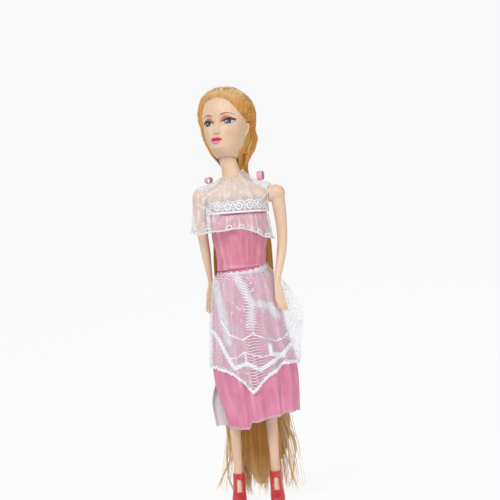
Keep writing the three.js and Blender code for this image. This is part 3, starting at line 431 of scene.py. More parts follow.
def sweep(name, stations, sides):
    # stations hold a place, a direction, a half width and a half depth in millimetres
    place, run, wide, deep = stations[0]
    circle = bpy.ops.mesh.primitive_circle_add
    obj = addForm(circle, name, vertices=sides, radius=mm, fill_type="NGON", location=place)
    bpy.ops.object.transform_apply(location=True)
    bpy.ops.object.mode_set(mode="EDIT")
    bpy.ops.mesh.select_all(action="SELECT")
    lean, turn = ringTilt(run)
    bpy.ops.transform.resize(value=(wide, deep, 1), center_override=place)
    turnSelected(lean, "X", place)
    turnSelected(turn, "Y", place)
    for nextPlace, nextRun, nextWide, nextDeep in stations[1:]:
        bpy.ops.mesh.extrude_region_move(TRANSFORM_OT_translate={"value": nextPlace - place})
        turnSelected(-turn, "Y", nextPlace)
        turnSelected(-lean, "X", nextPlace)
        bpy.ops.transform.resize(value=(nextWide / wide, nextDeep / deep, 1), center_override=nextPlace)
        lean, turn = ringTilt(nextRun)
        turnSelected(lean, "X", nextPlace)
        turnSelected(turn, "Y", nextPlace)
        place, wide, deep = nextPlace, nextWide, nextDeep
    turnOutward(obj)
    smooth = obj.modifiers.new("Subdivision", "SUBSURF")
    smooth.levels = smooth.render_levels = 1
    finishModifiers(obj)
    return obj


def limbStations(table, count, puff=0.0, mirror=1):
    # resamples (step, x, y, z, half width, half depth)
    first, last = table[0][0], table[-1][0]
    found = []
    for i in range(count + 1):
        step = first + (last - first) * i / count
        x, y, z, wide, deep = along(table, step)
        ahead = along(table, min(step + 0.02, last))
        behind = along(table, max(step - 0.02, first))
        run = Vector([(a - b) for a, b in zip(ahead[:3], behind[:3])]).normalized()
        run.x *= mirror
        found.append((at(mirror * x, y, z), run, wide + puff, deep + puff))
    return found


def bisectKeep(obj, place, normal):
    # keeps what lies behind the plane and closes the cut
    editAll(obj, bpy.ops.mesh.bisect, plane_co=place, plane_no=normal, use_fill=True, clear_outer=True)


def boolean(obj, cutter, operation):
    only(obj)
    modifier = obj.modifiers.new("Boolean", "BOOLEAN")
    modifier.operation = operation
    modifier.solver = "EXACT"
    modifier.object = cutter
    bpy.ops.object.modifier_apply(modifier=modifier.name)
    bpy.data.objects.remove(cutter, do_unlink=True)
    return obj


def remesh(obj, size, passes):
    # melts joined forms into one skin
    only(obj)
    cells = obj.modifiers.new("Remesh", "REMESH")
    cells.mode = "VOXEL"
    cells.voxel_size = size * mm
    soft = obj.modifiers.new("Smooth", "SMOOTH")
    soft.factor = 0.5
    soft.iterations = passes
    finishModifiers(obj)
    return obj


def hubCutter(radius, fromX, toX, drop):
    # a cylinder on the hip axis whose lower half reaches down
    middle = at((fromX + toX) / 2, 0, bodyValues["hipHeight"])
    cutter = addForm(
        bpy.ops.mesh.primitive_cylinder_add, "cutter", vertices=64, radius=radius * mm,
        depth=(toX - fromX) * mm, location=middle, rotation=(0, math.radians(90), 0),
    )
    bpy.ops.object.transform_apply(location=True, rotation=True)
    if drop:
        for vertex in cutter.data.vertices:
            if vertex.co.z < middle.z + 0.00001:
                vertex.co.z -= drop * mm
    return cutter


# Materials of the body

def plasticFinish(name, colour, warm, roughness):
    # soft moulded plastic: cloudy tint and fine mottling
    shop = Finish(name)
    place = shop.objectPlace()
    cloud = shop.grain(place, 45, 3)
    fine = shop.grain(place, 900, 2)
    tint = shop.mix(cloud.step(0.35, 0.7), colour, warm)
    shop.set(
        colour=tint, roughness=roughness + fine * 0.12, coat=0.12, coatRoughness=0.25,
        subsurface=0.12, subsurfaceScale=0.003, specular=0.45,
        normal=shop.bump(fine * 0.4 + cloud * 0.6, 0.06, 0.0004),
    )
    return shop.material


skinTone = (0.80, 0.58, 0.41)
bodyFinish = plasticFinish("bodyPlasticFinish", skinTone, (0.75, 0.51, 0.34), 0.36)

# Torso, arms and legs

bodyValues = {
    "hipHeight": 146,
    "shoulderHeight": 217,
    "torsoBottom": 139,
    "neckTop": 246.5,
    "torsoSteps": 34,
    "gap": 0.3,
    "domeRadius": 6.3,
    "hubRadius": 11.4,
    "armPlane": 21.5,
    "crotchHalf": 6,
    "knee": (12.4, -5.5, 85),
    "ankle": (16, 4.4, 23),
    "remesh": 0.34,
}

torsoTable = [
    (139, 0, 0, 5.5, 7.5), (143, 0, 0, 12, 10.5), (150, 0, 0.1, 16.8, 12.1),
    (159, 0, -0.6, 14.2, 9.6), (168, 0, -0.9, 12.5, 7.6), (178, 0, -0.8, 14, 8.8),
    (186, 0, -1.8, 16, 10.4), (193, 0, -2.6, 17.6, 11.8), (200, 0, -1.2, 17.8, 10.4),
    (208, 0, 0.1, 18.8, 8.5), (217, -0.1, 0.4, 23.8, 7.8), (222, -0.8, 0.7, 20.2, 6.7),
    (225.5, -1.3, 0.4, 12.5, 6.6), (229, -1.8, 0.1, 7.9, 7.2), (233.4, -2.3, 0, 6.5, 6.5),
    (238, -3.5, 0, 6.2, 6.2), (243, -4.6, 0, 6.1, 6.1), (246.5, -5.1, 0, 5.7, 5.7),
]


def makeTorso():
    values = bodyValues
    stations = []
    for i in range(values["torsoSteps"] + 1):
        height = partWay(values["torsoBottom"], values["neckTop"], i / values["torsoSteps"])
        x, y, wide, deep = along(torsoTable, height)
        lean = between(229, 242, height)
        run = Vector((0, 0, 1)).lerp(neckAxis, lean)
        stations.append((at(x, y, height), run, wide, deep))
    torso = sweep("torso", stations, sides=32)
    for side in (-1, 1):
        bisectKeep(torso, at(side * (values["armPlane"] - values["gap"]), 0, 217), (side, 0, 0))
        low, high = sorted((side * values["crotchHalf"], side * 60))
        bowl = hubCutter(values["hubRadius"] + values["gap"], low, high, 40)
        boolean(torso, bowl, "DIFFERENCE")
    for name, sign in (("torso_front", -1), ("torso_back", 1)):
        half = torso.copy()
        half.data = torso.data.copy()
        half.name = half.data.name = name + "_shell"
        bpy.context.collection.objects.link(half)
        bisectKeep(half, at(0, sign * 0.1, 200), (0, -sign, 0))
        settle(half, bodyFinish, "torso", "body_plastic", [name], 50)
    bpy.data.objects.remove(torso, do_unlink=True)


armTables = {
    "left": {
        "side": 1,
        "reach": 34,
        "run": [
            (0, 28.2, 1, 220.5, 4.4, 4.4), (1, 28.8, 1, 212, 4.9, 5), (2, 29.6, 1, 200, 4.3, 4.4),
            (3, 29.8, 1.2, 186, 3.6, 3.7), (4, 28.3, 0, 175, 3.4, 3.6), (5, 25.6, -3.4, 163, 2.7, 2.9),
            (6, 23.8, -6.4, 155.5, 2.3, 2.4), (7, 24.1, -8.4, 149.5, 3.3, 1.8),
            (8, 24.9, -9.6, 144.5, 3.4, 1.5), (8.3, 25.1, -9.8, 143, 3.1, 1.2),
        ],
        "palm": (24.9, -9.6, 144.5),
        "tip": (26.9, -10.6, 134.5),
    },
    "right": {
        "side": -1,
        "reach": 31,
        "run": [
            (0, 26.6, 1, 220.5, 4.2, 4.4), (1, 26.6, 1.2, 212, 4.6, 5), (2, 26.4, 2.2, 200, 4.1, 4.4),
            (3, 25.4, 4.4, 186, 3.6, 3.7), (4, 24.2, 7, 175, 3.3, 3.6), (5, 22.9, 10, 164, 2.7, 2.9),
            (6, 22.4, 12.2, 156.5, 2.3, 2.4), (7, 23.2, 13.8, 150.5, 3.3, 1.8),
            (8, 23.8, 14.8, 145.5, 3.4, 1.5), (8.3, 23.9, 15, 144, 3.1, 1.2),
        ],
        "palm": (23.8, 14.8, 145.5),
        "tip": (24.6, 15.6, 135.5),
    },
}
fingerValues = {
    "spread": (-2.4, -0.82, 0.82, 2.35),
    "share": (0.80, 0.97, 1.02, 0.90),
    "girth": (1.0, 1.05, 1.0, 0.9),
    "radius": 0.88,
}


def makeFingers(name, side, palm, tip):
    values = fingerValues
    pieces = []
    x, y, z = palm
    for across, share, girth in zip(values["spread"], values["share"], values["girth"]):
        end = [p + (t - p) * share for p, t in zip(palm, tip)]
        knuckle = [(p + e) / 2 for p, e in zip(palm, end)]
        radius = values["radius"] * girth
        table = [
            (0, x + across, y, z + 3.2, radius, radius),
            (1, x + across * 1.05, y - 0.1, z, radius * 1.05, radius * 1.02),
            (2, knuckle[0] + across * 1.15, knuckle[1] - 0.55, knuckle[2], radius * 0.98, radius),
            (3, end[0] + across * 1.2, end[1], end[2] + 0.5, radius * 0.82, radius * 0.72),
            (4, end[0] + across * 1.2, end[1] + 0.1, end[2] - 0.3, radius * 0.4, radius * 0.3),
        ]
        pieces.append(sweep(name, limbStations(table, 8, 0, side), sides=10))
    thumb = [
        (0, x - 2.0, y + 0.4, z + 5.4, 1.3, 1.2), (1, x - 3.3, y, z + 2.6, 1.15, 1.05),
        (2, x - 3.8, y - 0.7, z + 0.2, 0.95, 0.9), (3, x - 3.5, y - 1.1, z - 1.9, 0.6, 0.5),
    ]
    pieces.append(sweep(name, limbStations(thumb, 7, 0, side), sides=10))
    return pieces


def makeArm(which):
    values = armTables[which]
    side = values["side"]
    arm = sweep("arm_" + which, limbStations(values["run"], 26, 0, side), sides=20)
    inner = bodyValues["armPlane"]
    middle = (values["reach"] + inner) / 2
    half = values["reach"] - middle
    centre = at(side * middle, 1, bodyValues["shoulderHeight"])
    radius = bodyValues["domeRadius"]
    dome = addBall("dome", segments=40, ring_count=24, radius=radius * mm, location=centre)
    dome.scale = (half / radius, 1, 1)
    bpy.ops.object.transform_apply(location=True, rotation=True, scale=True)
    for vertex in dome.data.vertices:
        across = (vertex.co.x - centre.x) * side / mm
        if across < 0:
            # the inner half is a full hub that meets the torso
            grow = 1 / math.sqrt(max(1 - (across / half) ** 2, 0.12)) * 0.96
            vertex.co.y = partWay(centre.y, vertex.co.y, grow)
            vertex.co.z = partWay(centre.z, vertex.co.z, grow)
    fingers = makeFingers("finger", side, values["palm"], values["tip"])
    arm = joinPieces([arm, dome, *fingers])
    remesh(arm, bodyValues["remesh"], 5)
    bisectKeep(arm, at(side * inner, 0, 217), (-side, 0, 0))
    settle(arm, bodyFinish, which + "_arm", "body_plastic", ["arm_" + which], 60)


footTable = [
    (7, 13, 4.4, 24, 3, 3.4), (8, 13, 4.2, 17.5, 3.1, 4.2), (9, 13.1, 1.6, 12, 3.4, 4.2),
    (10, 13.3, -3.4, 7.6, 3.8, 2.9), (11, 13.4, -8.6, 4.7, 3.9, 1.9), (12, 13.4, -12.4, 3.4, 2.6, 1.2),
]
legTable = [
    (0, 9.8, 0.6, 158, 6.6, 9.4), (1, 10.3, 0.4, 146, 8.2, 9.8), (2, 11, 0, 130.1, 8, 8.8),
    (3, 11.8, -0.4, 107.6, 6.4, 7), (4, 12.4, -0.2, 85, 5, 5.3), (5, 12.8, 1.8, 64.3, 4.3, 5),
    (6, 13, 3.4, 44.1, 3.6, 3.9), *footTable,
]


def makeLeg(which, side):
    leg = sweep("leg_" + which, limbStations(legTable, 40, 0, side), sides=24)
    inner = bodyValues["crotchHalf"] + bodyValues["gap"]
    bisectKeep(leg, at(side * inner, 0, 146), (-side, 0, 0))
    hub = hubCutter(bodyValues["hubRadius"], -60, 60, 200)
    boolean(leg, hub, "INTERSECT")
    # knee cap and ankle bone are raised a little
    knee = at(side * bodyValues["knee"][0], *bodyValues["knee"][1:])
    ankle = at(side * bodyValues["ankle"][0], *bodyValues["ankle"][1:])
    for vertex in leg.data.vertices:
        lift = 0.45 * hump((vertex.co - knee).length / mm, 0, 3.4)
        vertex.co.y -= lift * mm
        vertex.co.x += side * 0.4 * mm * hump((vertex.co - ankle).length / mm, 0, 1.8)
    settle(leg, bodyFinish, which + "_leg", "body_plastic", ["leg_" + which], 50)


makeTorso()
makeArm("left")
makeArm("right")
makeLeg("left", 1)
makeLeg("right", -1)
print("stage: torso, arms and legs")


# Head: a vinyl moulding, sculpted from a sphere, with its face painted by the shader

headValues = {
    "turn": 23,
    "lean": 3,
    "tipBack": 8,
    "forward": 2.5,
    "rise": 1.8,
    "segments": 168,
    "rings": 150,
    "eyeX": 7.5,
    "eyeZ": 20.9,
    "eyeDrop": 0.6,
    "noseZ": 13.8,
    "lipX": -0.6,
    "lipZ": 7.9,
    "chinZ": 2.9,
    "smile": 0.045,
}
headFrame = (
    Matrix.Translation(neckFoot)
    @ Matrix.Rotation(math.radians(-headValues["tipBack"]), 4, "X")
    @ Matrix.Rotation(math.radians(headValues["lean"]), 4, "Y")
    @ Matrix.Rotation(math.radians(-headValues["turn"]), 4, "Z")
    @ Matrix.Translation(Vector((0, -headValues["forward"], headValues["rise"])) * mm)
    @ Matrix.Scale(mm, 4)
)
headTable = [
    (-1.5, 7.4, 7.2, 9.8), (0, 7.8, 9.6, 10.2), (2.5, 8.7, 13.1, 11.2), (6, 10.8, 14.7, 12.6),
    (11, 13.2, 14.9, 13.5), (16, 14.5, 14.7, 15.8), (21, 15, 14.4, 17.4), (27, 16, 15.4, 18),
    (33, 15.4, 14.6, 17.4), (38.5, 13, 12.2, 15.4), (42.5, 9, 8.4, 10.8), (44.8, 4.4, 4.2, 5.4),
    (45.5, 0.05, 0.05, 0.05),
]


def eyeRim(across):
    # upper and lower edge of the eye opening, from the eye's middle height
    share = max(1 - (across / 4.3) ** 2, 0)
    tilt = 0.10 * across
    return tilt + 1.75 * share ** 0.75, tilt - 1.35 * share


def faceBumps():
    # height, place and spread across on both sides, level and spread up and down
    eye, nose, lip, chin = (headValues[key] for key in ("eyeZ", "noseZ", "lipZ", "chinZ"))
    wide = headValues["eyeX"]
    return {
        "forehead": (0.5, 0, 9, 31, 6),
        "brow": (0.45, 6.5, 4.6, eye + 4.6, 1.7),
        "socket": (-1.5, wide - 0.6, 3.7, eye + 1.0, 3.0),
        "eyeball": (1.15, wide, 3.3, eye, 2.2),
        "innerCorner": (-0.6, 3.1, 1.2, eye - 0.3, 2.2),
        "noseTip": (1.35, 0, 1.45, nose, 1.35),
        "wing": (0.95, 1.9, 0.8, nose - 0.55, 0.95),
        "nostril": (-0.5, 1.0, 0.5, nose - 1.75, 0.42),
        "wingCrease": (-0.2, 3.1, 0.5, nose - 0.4, 1.2),
        "lipGroove": (-0.3, 0, 0.55, lip + 3.0, 0.9),
        "grooveEdge": (0.22, 0.95, 0.45, lip + 2.8, 1.0),
        "chin": (1.45, 0, 3.2, chin + 0.4, 2.1),
        "cheek": (0.75, 8.8, 3.6, 14.8, 4.0),
        "underCheek": (-0.35, 7.6, 2.6, 7.2, 3.2),
    }


bumps = faceBumps()


def faceRelief(x, z):
    v = headValues
    width = abs(x)
    mouth = z
    z += v["eyeDrop"] * between(2, -3, x) * between(11, 17, z)
    total = sum(
        size * hump(width, across, spread) * hump(z, level, tall)
        for size, across, spread, level, tall in bumps.values()
    )
    # lids stand round the opening
    across = width - v["eyeX"]
    upper, lower = eyeRim(across)
    inside = between(4.8, 3.8, abs(across))
    total += 0.30 * hump(z - v["eyeZ"], upper + 0.35, 0.42) * inside
    total += 0.14 * hump(z - v["eyeZ"], lower - 0.25, 0.35) * inside
    # bridge of the nose
    drop = between(v["eyeZ"] + 5, v["noseZ"] + 0.6, z)
    under = between(v["noseZ"] - 1.9, v["noseZ"] - 0.5, z)
    total += (0.35 + 1.65 * drop) * hump(x, 0, 1.25 + 0.5 * drop) * drop ** 0.5 * under
    # lips
    x -= v["lipX"]
    width = abs(x)
    lift = (mouth - v["lipZ"] - v["smile"] * min(width, 5) ** 2) / 1.1
    bow = 0.30 * hump(width, 1.1, 0.9) - 0.18 * hump(x, 0, 0.6)
    total += 1.15 * between(4.4, 2.2, width) * hump(lift, 0.95 + bow, 0.85)
    total += 1.35 * between(4.1, 1.4, width) * hump(lift, -1.15, 1.05)
    total -= 0.75 * between(4.6, 3.4, width) * hump(lift, -0.03 * width, 0.26)
    total -= 0.35 * hump(width, 4.2, 0.7) * hump(lift, 0.1, 0.9)
    return total - 0.75 * hump(x, 0, 3) * hump(lift, -3.3, 0.95)


def headPoint(level, turn, puff=0.0, relief=True):
    wide, face, nape = along(headTable, level)
    side, ahead = math.sin(turn), math.cos(turn)
    x = (wide + puff) * rounded(side, 0.94)
    y = -((face if ahead > 0 else nape) + puff) * rounded(ahead, 0.94)
    if relief and ahead > 0:
        y -= faceRelief(x, level) * between(0, 0.5, ahead)
    lift = puff * between(30, 45.5, level) - puff * 0.4 * between(3, -1.5, level)
    return Vector((x, y, level + lift))


faceColours = {
    "blush": (0.78, 0.36, 0.25),
    "paintedNoseShade": (0.62, 0.28, 0.13),
    "lidPaintAndSocketShade": (0.50, 0.19, 0.06),
    "earHollowShade": (0.52, 0.25, 0.13),
    "whiteShaded": (0.24, 0.24, 0.25),
    "white": (0.66, 0.67, 0.65),
    "irisInner": (0.06, 0.09, 0.10),
    "irisOuter": (0.022, 0.034, 0.042),
    "irisRays": (0.12, 0.16, 0.17),
    "irisRim": (0.010, 0.012, 0.016),
    "pupil": (0.006, 0.006, 0.008),
    "glint": (0.95, 0.97, 0.97),
    "lashes": (0.035, 0.014, 0.010),
    "lowerLashes": (0.09, 0.04, 0.03),
    "crease": (0.25, 0.09, 0.04),
    "brow": (0.20, 0.075, 0.028),
    "lowerLip": (0.84, 0.20, 0.30),
    "upperLip": (0.60, 0.045, 0.12),
    "mouthLine": (0.30, 0.012, 0.04),
    "paintedLipHighlight": (0.95, 0.50, 0.58),
    "cloudy": (0.74, 0.50, 0.33),
}


def faceFinish():
    shop = Finish("faceVinylFinish")
    v = headValues
    tones = faceColours
    spot = shop.attribute("faceSpace")
    x, y, z = shop.split(spot)
    front = (y * -1).step(2, 5)
    width = abs(x)
    fine = shop.grain(shop.objectPlace(), 900, 2)
    cloud = shop.grain(shop.objectPlace(), 60, 3)
    skin = shop.mix(cloud.step(0.35, 0.7), skinTone, tones["cloudy"])
    # blush paint on the cheeks, and painted shade round the nostrils
    cheek = ((width - 9) / 4.2) ** 2 + ((z - 13.5) / 3.8) ** 2
    skin = shop.mix(cheek.step(1.2, 0) * 0.35 * front, skin, tones["blush"])
    sideOfNose = abs(width - 2.1).step(1.1, 0)
    under = abs(z - (v["noseZ"] - 1.3)).step(1.3, 0)
    skin = shop.mix(sideOfNose * under * 0.55 * front, skin, tones["paintedNoseShade"])

    mouth = z
    z = z + x.step(2, -3) * v["eyeDrop"]
    across = width - v["eyeX"]
    tall = z - v["eyeZ"] - across * 0.10
    share = (1 - (across / 4.3) ** 2).larger(0)
    upper = share ** 0.75 * 1.75
    lower = share * -1.35
    # eye-shadow paint on the lids up to the brows, deepened with painted shade towards the inner corner of
    # the socket
    shadowTop = (1 - ((across + 0.7) / 6.0) ** 2).larger(0) * 5.4
    shadow = tall.step(0.2, 1.2) * (shadowTop - tall).step(0, 1.8)
    innerSide = (across.step(3.5, -3.5) * 0.7 + 0.38).smaller(1)
    skin = shop.mix(shadow * innerSide * front, skin, tones["lidPaintAndSocketShade"])

    # painted shade in the hollow of the ear
    hollow = (((y - 1.3) / 1.5) ** 2 + ((z - 18.2) / 2.7) ** 2).step(1.3, 0.2) * width.step(14.9, 15.5)
    skin = shop.mix(hollow * 0.6, skin, tones["earHollowShade"])

    # eye opening
    opening = (upper - tall).step(-0.05, 0.12) * (tall - lower).step(-0.05, 0.12) * front
    ball = shop.mix((upper - tall).step(0, 1.1), tones["whiteShaded"], tones["white"])
    gaze = x - v["eyeX"] * 0.97
    gazeLeft = x + v["eyeX"] * 1.01
    middle = ((gaze.larger(-90) ** 2).smaller(gazeLeft ** 2) + (tall - 0.15) ** 2) ** 0.5
    iris = shop.mix(middle.step(0.6, 1.7), tones["irisInner"], tones["irisOuter"])
    rays = shop.grain(shop.stretched(spot, (3.5, 0.2, 3.5)), 1.2, 2)
    iris = shop.mix(rays.step(0.45, 0.65) * 0.4, iris, tones["irisRays"])
    iris = shop.mix(middle.step(1.75, 2.1), iris, tones["irisRim"])
    iris = shop.mix(middle.step(0.78, 0.62), iris, tones["pupil"])
    ball = shop.mix(middle.step(2.5, 2.34), ball, iris)
    # painted highlights: a larger and a smaller white dot on the same side of each eye
    for offset, rise, size in ((-0.55, 0.75, 0.36), (0.6, -0.5, 0.20)):
        glint = (((gaze - offset) ** 2).smaller((gazeLeft - offset) ** 2) + (tall - rise) ** 2) ** 0.5
        ball = shop.mix(glint.step(size + 0.1, size - 0.08), ball, tones["glint"])
    skin = shop.mix(opening, skin, ball)

    # lashes: a thick dark upper line that runs out past the corner, a thin lower line
    thick = across.step(-4.4, 3.0) * 0.8 + 0.55
    reach = across.step(-4.35, -3.9) * across.step(5.3, 4.4)
    wing = (across - 3.4).larger(0) * 0.55
    upLine = (tall - upper - wing).step(-0.22, -0.08) * (upper + wing + thick - tall).step(-0.05, 0.12)
    skin = shop.mix(upLine * reach * front, skin, tones["lashes"])
    lowLine = (abs(tall - lower + 0.12) - 0.16).step(0.10, -0.05)
    lowLine = lowLine * across.step(-2.8, -0.5) * across.step(4.3, 3.7)
    skin = shop.mix(lowLine * 0.85 * front, skin, tones["lowerLashes"])
    crease = (abs(tall - upper - 1.45) - 0.12).step(0.16, 0)
    crease = crease * across.step(-3.6, -1.5) * across.step(4.4, 2.5)
    skin = shop.mix(crease * 0.55 * front, skin, tones["crease"])

    # brows
    arch = 5.9 - ((across - 0.3) / 5.2) ** 2 * 1.75
    browHalf = across.step(5.6, -3.5) * 0.42 + 0.14
    brow = (browHalf - abs(z - v["eyeZ"] - arch)).step(-0.12, 0.12)
    brow = brow * across.step(-4.6, -3.6) * across.step(5.4, 4.2)
    hairs = shop.grain(shop.stretched(spot, (2.2, 0.5, 5.0)), 2.0, 2)
    skin = shop.mix(brow * (hairs * 0.6 + 0.55) * front, skin, tones["brow"])

    # lips
    x = x - v["lipX"]
    width = abs(x)
    lift = (mouth - v["lipZ"] - width.smaller(5) ** 2 * v["smile"]) / 1.12
    bow = (1.15 - width).larger(0) * -0.36 + 1.95
    edgeShare = (1 - (width / 4.3) ** 2).larger(0)
    lipTop = edgeShare ** 0.8 * bow
    lipLow = edgeShare ** 0.62 * -2.45
    lips = (lipTop - lift).step(-0.10, 0.22) * (lift - lipLow).step(-0.12, 0.28) * front
    tone = shop.mix(lift.step(-0.35, 0.15), tones["lowerLip"], tones["upperLip"])
    tone = shop.mix(abs(lift + width * 0.03).step(0.30, 0.05) * 0.8, tone, tones["mouthLine"])
    # a painted highlight on the lower lip
    gleam = ((x / 1.6) ** 2 + ((lift + 1.25) / 0.55) ** 2).step(1.2, 0.1)
    tone = shop.mix(gleam * 0.45, tone, tones["paintedLipHighlight"])
    skin = shop.mix(lips, skin, tone)
    shine = (opening + lips).smaller(1)
    shop.set(
        colour=skin, roughness=0.44 + fine * 0.1 - shine * 0.22, coat=0.08, coatRoughness=0.3,
        subsurface=0.1, subsurfaceScale=0.003, specular=0.4,
        normal=shop.bump(fine * 0.4 + cloud * 0.6, 0.05, 0.0004),
    )
    return shop.material


earValues = {
    "tall": 4.7,
    "deep": 1.75,
    "deeperAbove": 1.0,
    "rim": 0.95,
    "fold": 0.35,
    "bowl": 1.25,
    "thick": 0.95,
    "turnOut": -38,
    "place": (14.9, 1.6, 17.6),
}


def makeEar(side):
    # a flattened ball with a raised rim and a hollow middle
    v = earValues
    outX, outY, outZ = v["place"]
    ear = addBall("ear", segments=44, ring_count=40, radius=1, rotation=(0, math.radians(90), 0))
    bpy.ops.object.transform_apply(rotation=True)
    for vertex in ear.data.vertices:
        p = vertex.co
        spread = math.hypot(p.y, p.z)
        upper = between(-1, 1, p.z)
        tall = v["tall"] * p.z
        deep = (v["deep"] + v["deeperAbove"] * upper) * p.y
        rim = v["rim"] * hump(spread, 0.84, 0.13) * (0.5 + 0.5 * upper)
        foldSpread = math.hypot(p.y + 0.1, p.z - 0.15)
        fold = v["fold"] * hump(foldSpread, 0.5, 0.12) * between(-0.7, 0.2, p.z)
        bowl = -v["bowl"] * hump(spread, 0, 0.55) * between(-0.9, -0.2, p.z)
        thick = v["thick"] * p.x + (rim + fold + bowl if p.x > 0 else 0)
        leaning = Vector((thick, deep + 0.22 * tall, tall - 0.25 * deep))
        vertex.co = Matrix.Rotation(math.radians(v["turnOut"]), 3, "Z") @ leaning
        vertex.co = Vector((side * (vertex.co.x + outX), vertex.co.y + outY, vertex.co.z + outZ))
    return ear


def neckRing(level, radius, turn):
    return Vector((radius * math.sin(turn), headValues["forward"] - radius * math.cos(turn), level))


def ballPlace(place):
    # how far up a ball a corner lies, from 0 to 1, and its turn from the front
    climb = 1 - math.acos(max(min(place.z, 1), -1)) / math.pi
    return climb, math.atan2(place.x, -place.y)


def makeHead():
    v = headValues
    head = addBall("head_shell_form", segments=v["segments"], ring_count=v["rings"], radius=1)
    mouthOfNeck = [
        (0.0, 14, 0.1), (0.03, 14, 7.0), (0.055, 5.5, 7.0), (0.07, 2.4, 6.5), (0.085, -1.2, 6.5),
        (0.1, -1.6, 6.9),
    ]
    for vertex in head.data.vertices:
        climb, turn = ballPlace(vertex.co)
        # more columns across the face than round the back
        bunchedAndGlare = 0.62 * abs(turn) / math.pi + 0.38 * (abs(turn) / math.pi) ** 2.4
        turn = math.copysign(math.pi * bunchedAndGlare, turn)
        if climb <= 0.1:
            vertex.co = neckRing(*along(mouthOfNeck, climb), turn)
        else:
            share = (climb - 0.1) / 0.9
            level = -1.5 + 47 * (0.86 * share + 0.14 * share ** 3)
            edge = headPoint(level, turn)
            if share < 0.03:
                edge = edge.lerp(neckRing(*mouthOfNeck[-1][1:], turn), 1 - share / 0.03)
            vertex.co = edge
    head = joinPieces([head, makeEar(1), makeEar(-1)])
    head.data.transform(headFrame)
    settle(head, faceFinish(), "head", "face_vinyl", ["head_shell"], 60)
    toFace = headFrame.inverted()
    storeVector(head, "faceSpace", lambda place: toFace @ place)
    return head


headObject = makeHead()
print("stage: head")


# Sandals: the puffed foot with a window over the instep, a shaped sole and a heel

shoeValues = {
    "middle": 13,
    "puff": 1.2,
    "top": 22.4,
    "strap": 3.6,
    "vampTop": 10.5,
    "windowHalf": 2.0,
    "heelY": 6.4,
    "windowFront": -16,
    "windowBack": 3.4,
    "soleHalf": 3.4,
    "soleLong": 12.2,
    "soleMiddle": -2.6,
    "blankHalf": 6,
    "heelTop": 8.5,
    "heelFoot": 1.3,
    "heelHead": 2.3,
    "remesh": 0.24,
}
soleProfile = [
    (-15.4, 0), (-4.8, 0), (-2.2, 1.0), (0, 3.4), (2.6, 6.0), (5, 7.3), (8.4, 7.6), (9.0, 9.6), (8.6, 11.9),
    (5.6, 11.6), (3, 10.4), (0, 7.8), (-3, 5), (-5.5, 3.4), (-8, 2.6), (-12, 1.7), (-15.4, 1.4),
]


def prism(name, outline, run):
    # a flat outline of places in millimetres, drawn out along run
    circle = bpy.ops.mesh.primitive_circle_add
    obj = addForm(circle, name, vertices=len(outline), radius=mm, fill_type="NGON")
    for vertex, place in zip(obj.data.vertices, outline):
        vertex.co = at(*place)
    bpy.ops.object.mode_set(mode="EDIT")
    bpy.ops.mesh.select_all(action="SELECT")
    bpy.ops.mesh.extrude_region_move(TRANSFORM_OT_translate={"value": Vector(run) * mm})
    turnOutward(obj)
    return obj


def boxAt(low, high):
    middle = [(a + b) / 2 for a, b in zip(low, high)]
    box = addForm(bpy.ops.mesh.primitive_cube_add, "cutter", size=1, location=at(*middle))
    box.scale = [(b - a) * mm for a, b in zip(low, high)]
    bpy.ops.object.transform_apply(location=True, scale=True)
    return box


def shoeFinish():
    shop = Finish("redPlasticFinish")
    place = shop.objectPlace()
    cloud = shop.grain(place, 120, 3)
    fine = shop.grain(place, 1400, 2)
    tint = shop.mix(cloud.step(0.3, 0.7), (0.66, 0.055, 0.06), (0.56, 0.03, 0.04))
    shop.set(
        colour=tint, roughness=0.2 + fine * 0.12, coat=0.5, coatRoughness=0.12, specular=0.5,
        normal=shop.bump(cloud * 0.7 + fine * 0.3, 0.08, 0.0004),
    )
    return shop.material


shoePlastic = shoeFinish()


def makeShoe(which, side):
    v = shoeValues
    middle = side * v["middle"]
    shell = sweep("shoe_" + which, limbStations(footTable, 22, v["puff"], side), sides=28)
    bisectKeep(shell, at(0, 0, v["top"]), (0, 0, 1))
    window = boxAt(
        (middle - v["windowHalf"], v["windowFront"], v["vampTop"]),
        (middle + v["windowHalf"], v["windowBack"], v["top"] - v["strap"]),
    )
    boolean(shell, window, "DIFFERENCE")
    half = v["blankHalf"]
    sole = prism("sole", [(middle - half, y, z) for y, z in soleProfile], (2 * half, 0, 0))
    outline = []
    for i in range(40):
        turn = 2 * math.pi * i / 40
        y = v["soleMiddle"] - rounded(math.cos(turn), 0.8) * v["soleLong"]
        wide = v["soleHalf"] - 0.9 * between(-3, 3, y) + 0.35 * hump(y, -8, 4)
        outline.append((middle + wide * rounded(math.sin(turn), 0.75), y, -1))
    boolean(sole, prism("cutter", outline, (0, 0, 16)), "INTERSECT")
    heel = addForm(
        bpy.ops.mesh.primitive_cone_add, "heel", vertices=40, radius1=v["heelFoot"] * mm,
        radius2=v["heelHead"] * mm, depth=v["heelTop"] * mm,
        location=at(middle, v["heelY"], v["heelTop"] / 2),
    )
    bpy.ops.object.transform_apply(location=True)
    shoe = joinPieces([shell, sole, heel])
    remesh(shoe, v["remesh"], 4)
    settle(shoe, shoePlastic, which + "_leg", "red_plastic", ["shoe_" + which], 60)


makeShoe("left", 1)
makeShoe("right", -1)
print("stage: sandals")


# Cloth: a grid is laid out flat, every corner is placed, then it is given thickness

def clothGrid(name, grid, place, flat, closed=False):
    # place gives millimetres for u across and v down; the map holds flat millimetres
    cells = {"x_subdivisions": grid[0], "y_subdivisions": grid[1], "calc_uvs": True}
    obj = addForm(bpy.ops.mesh.primitive_grid_add, name, size=1, **cells)
    bpy.ops.object.transform_apply(location=True)
    for vertex in obj.data.vertices:
        vertex.co = at(*place(vertex.co.x + 0.5, 0.5 - vertex.co.y))
    for corner in obj.data.uv_layers[0].data:
        corner.uv = (corner.uv.x * flat[0], (1 - corner.uv.y) * flat[1])
    if closed:
        editAll(obj, bpy.ops.mesh.remove_doubles, threshold=0.00002)
    return obj


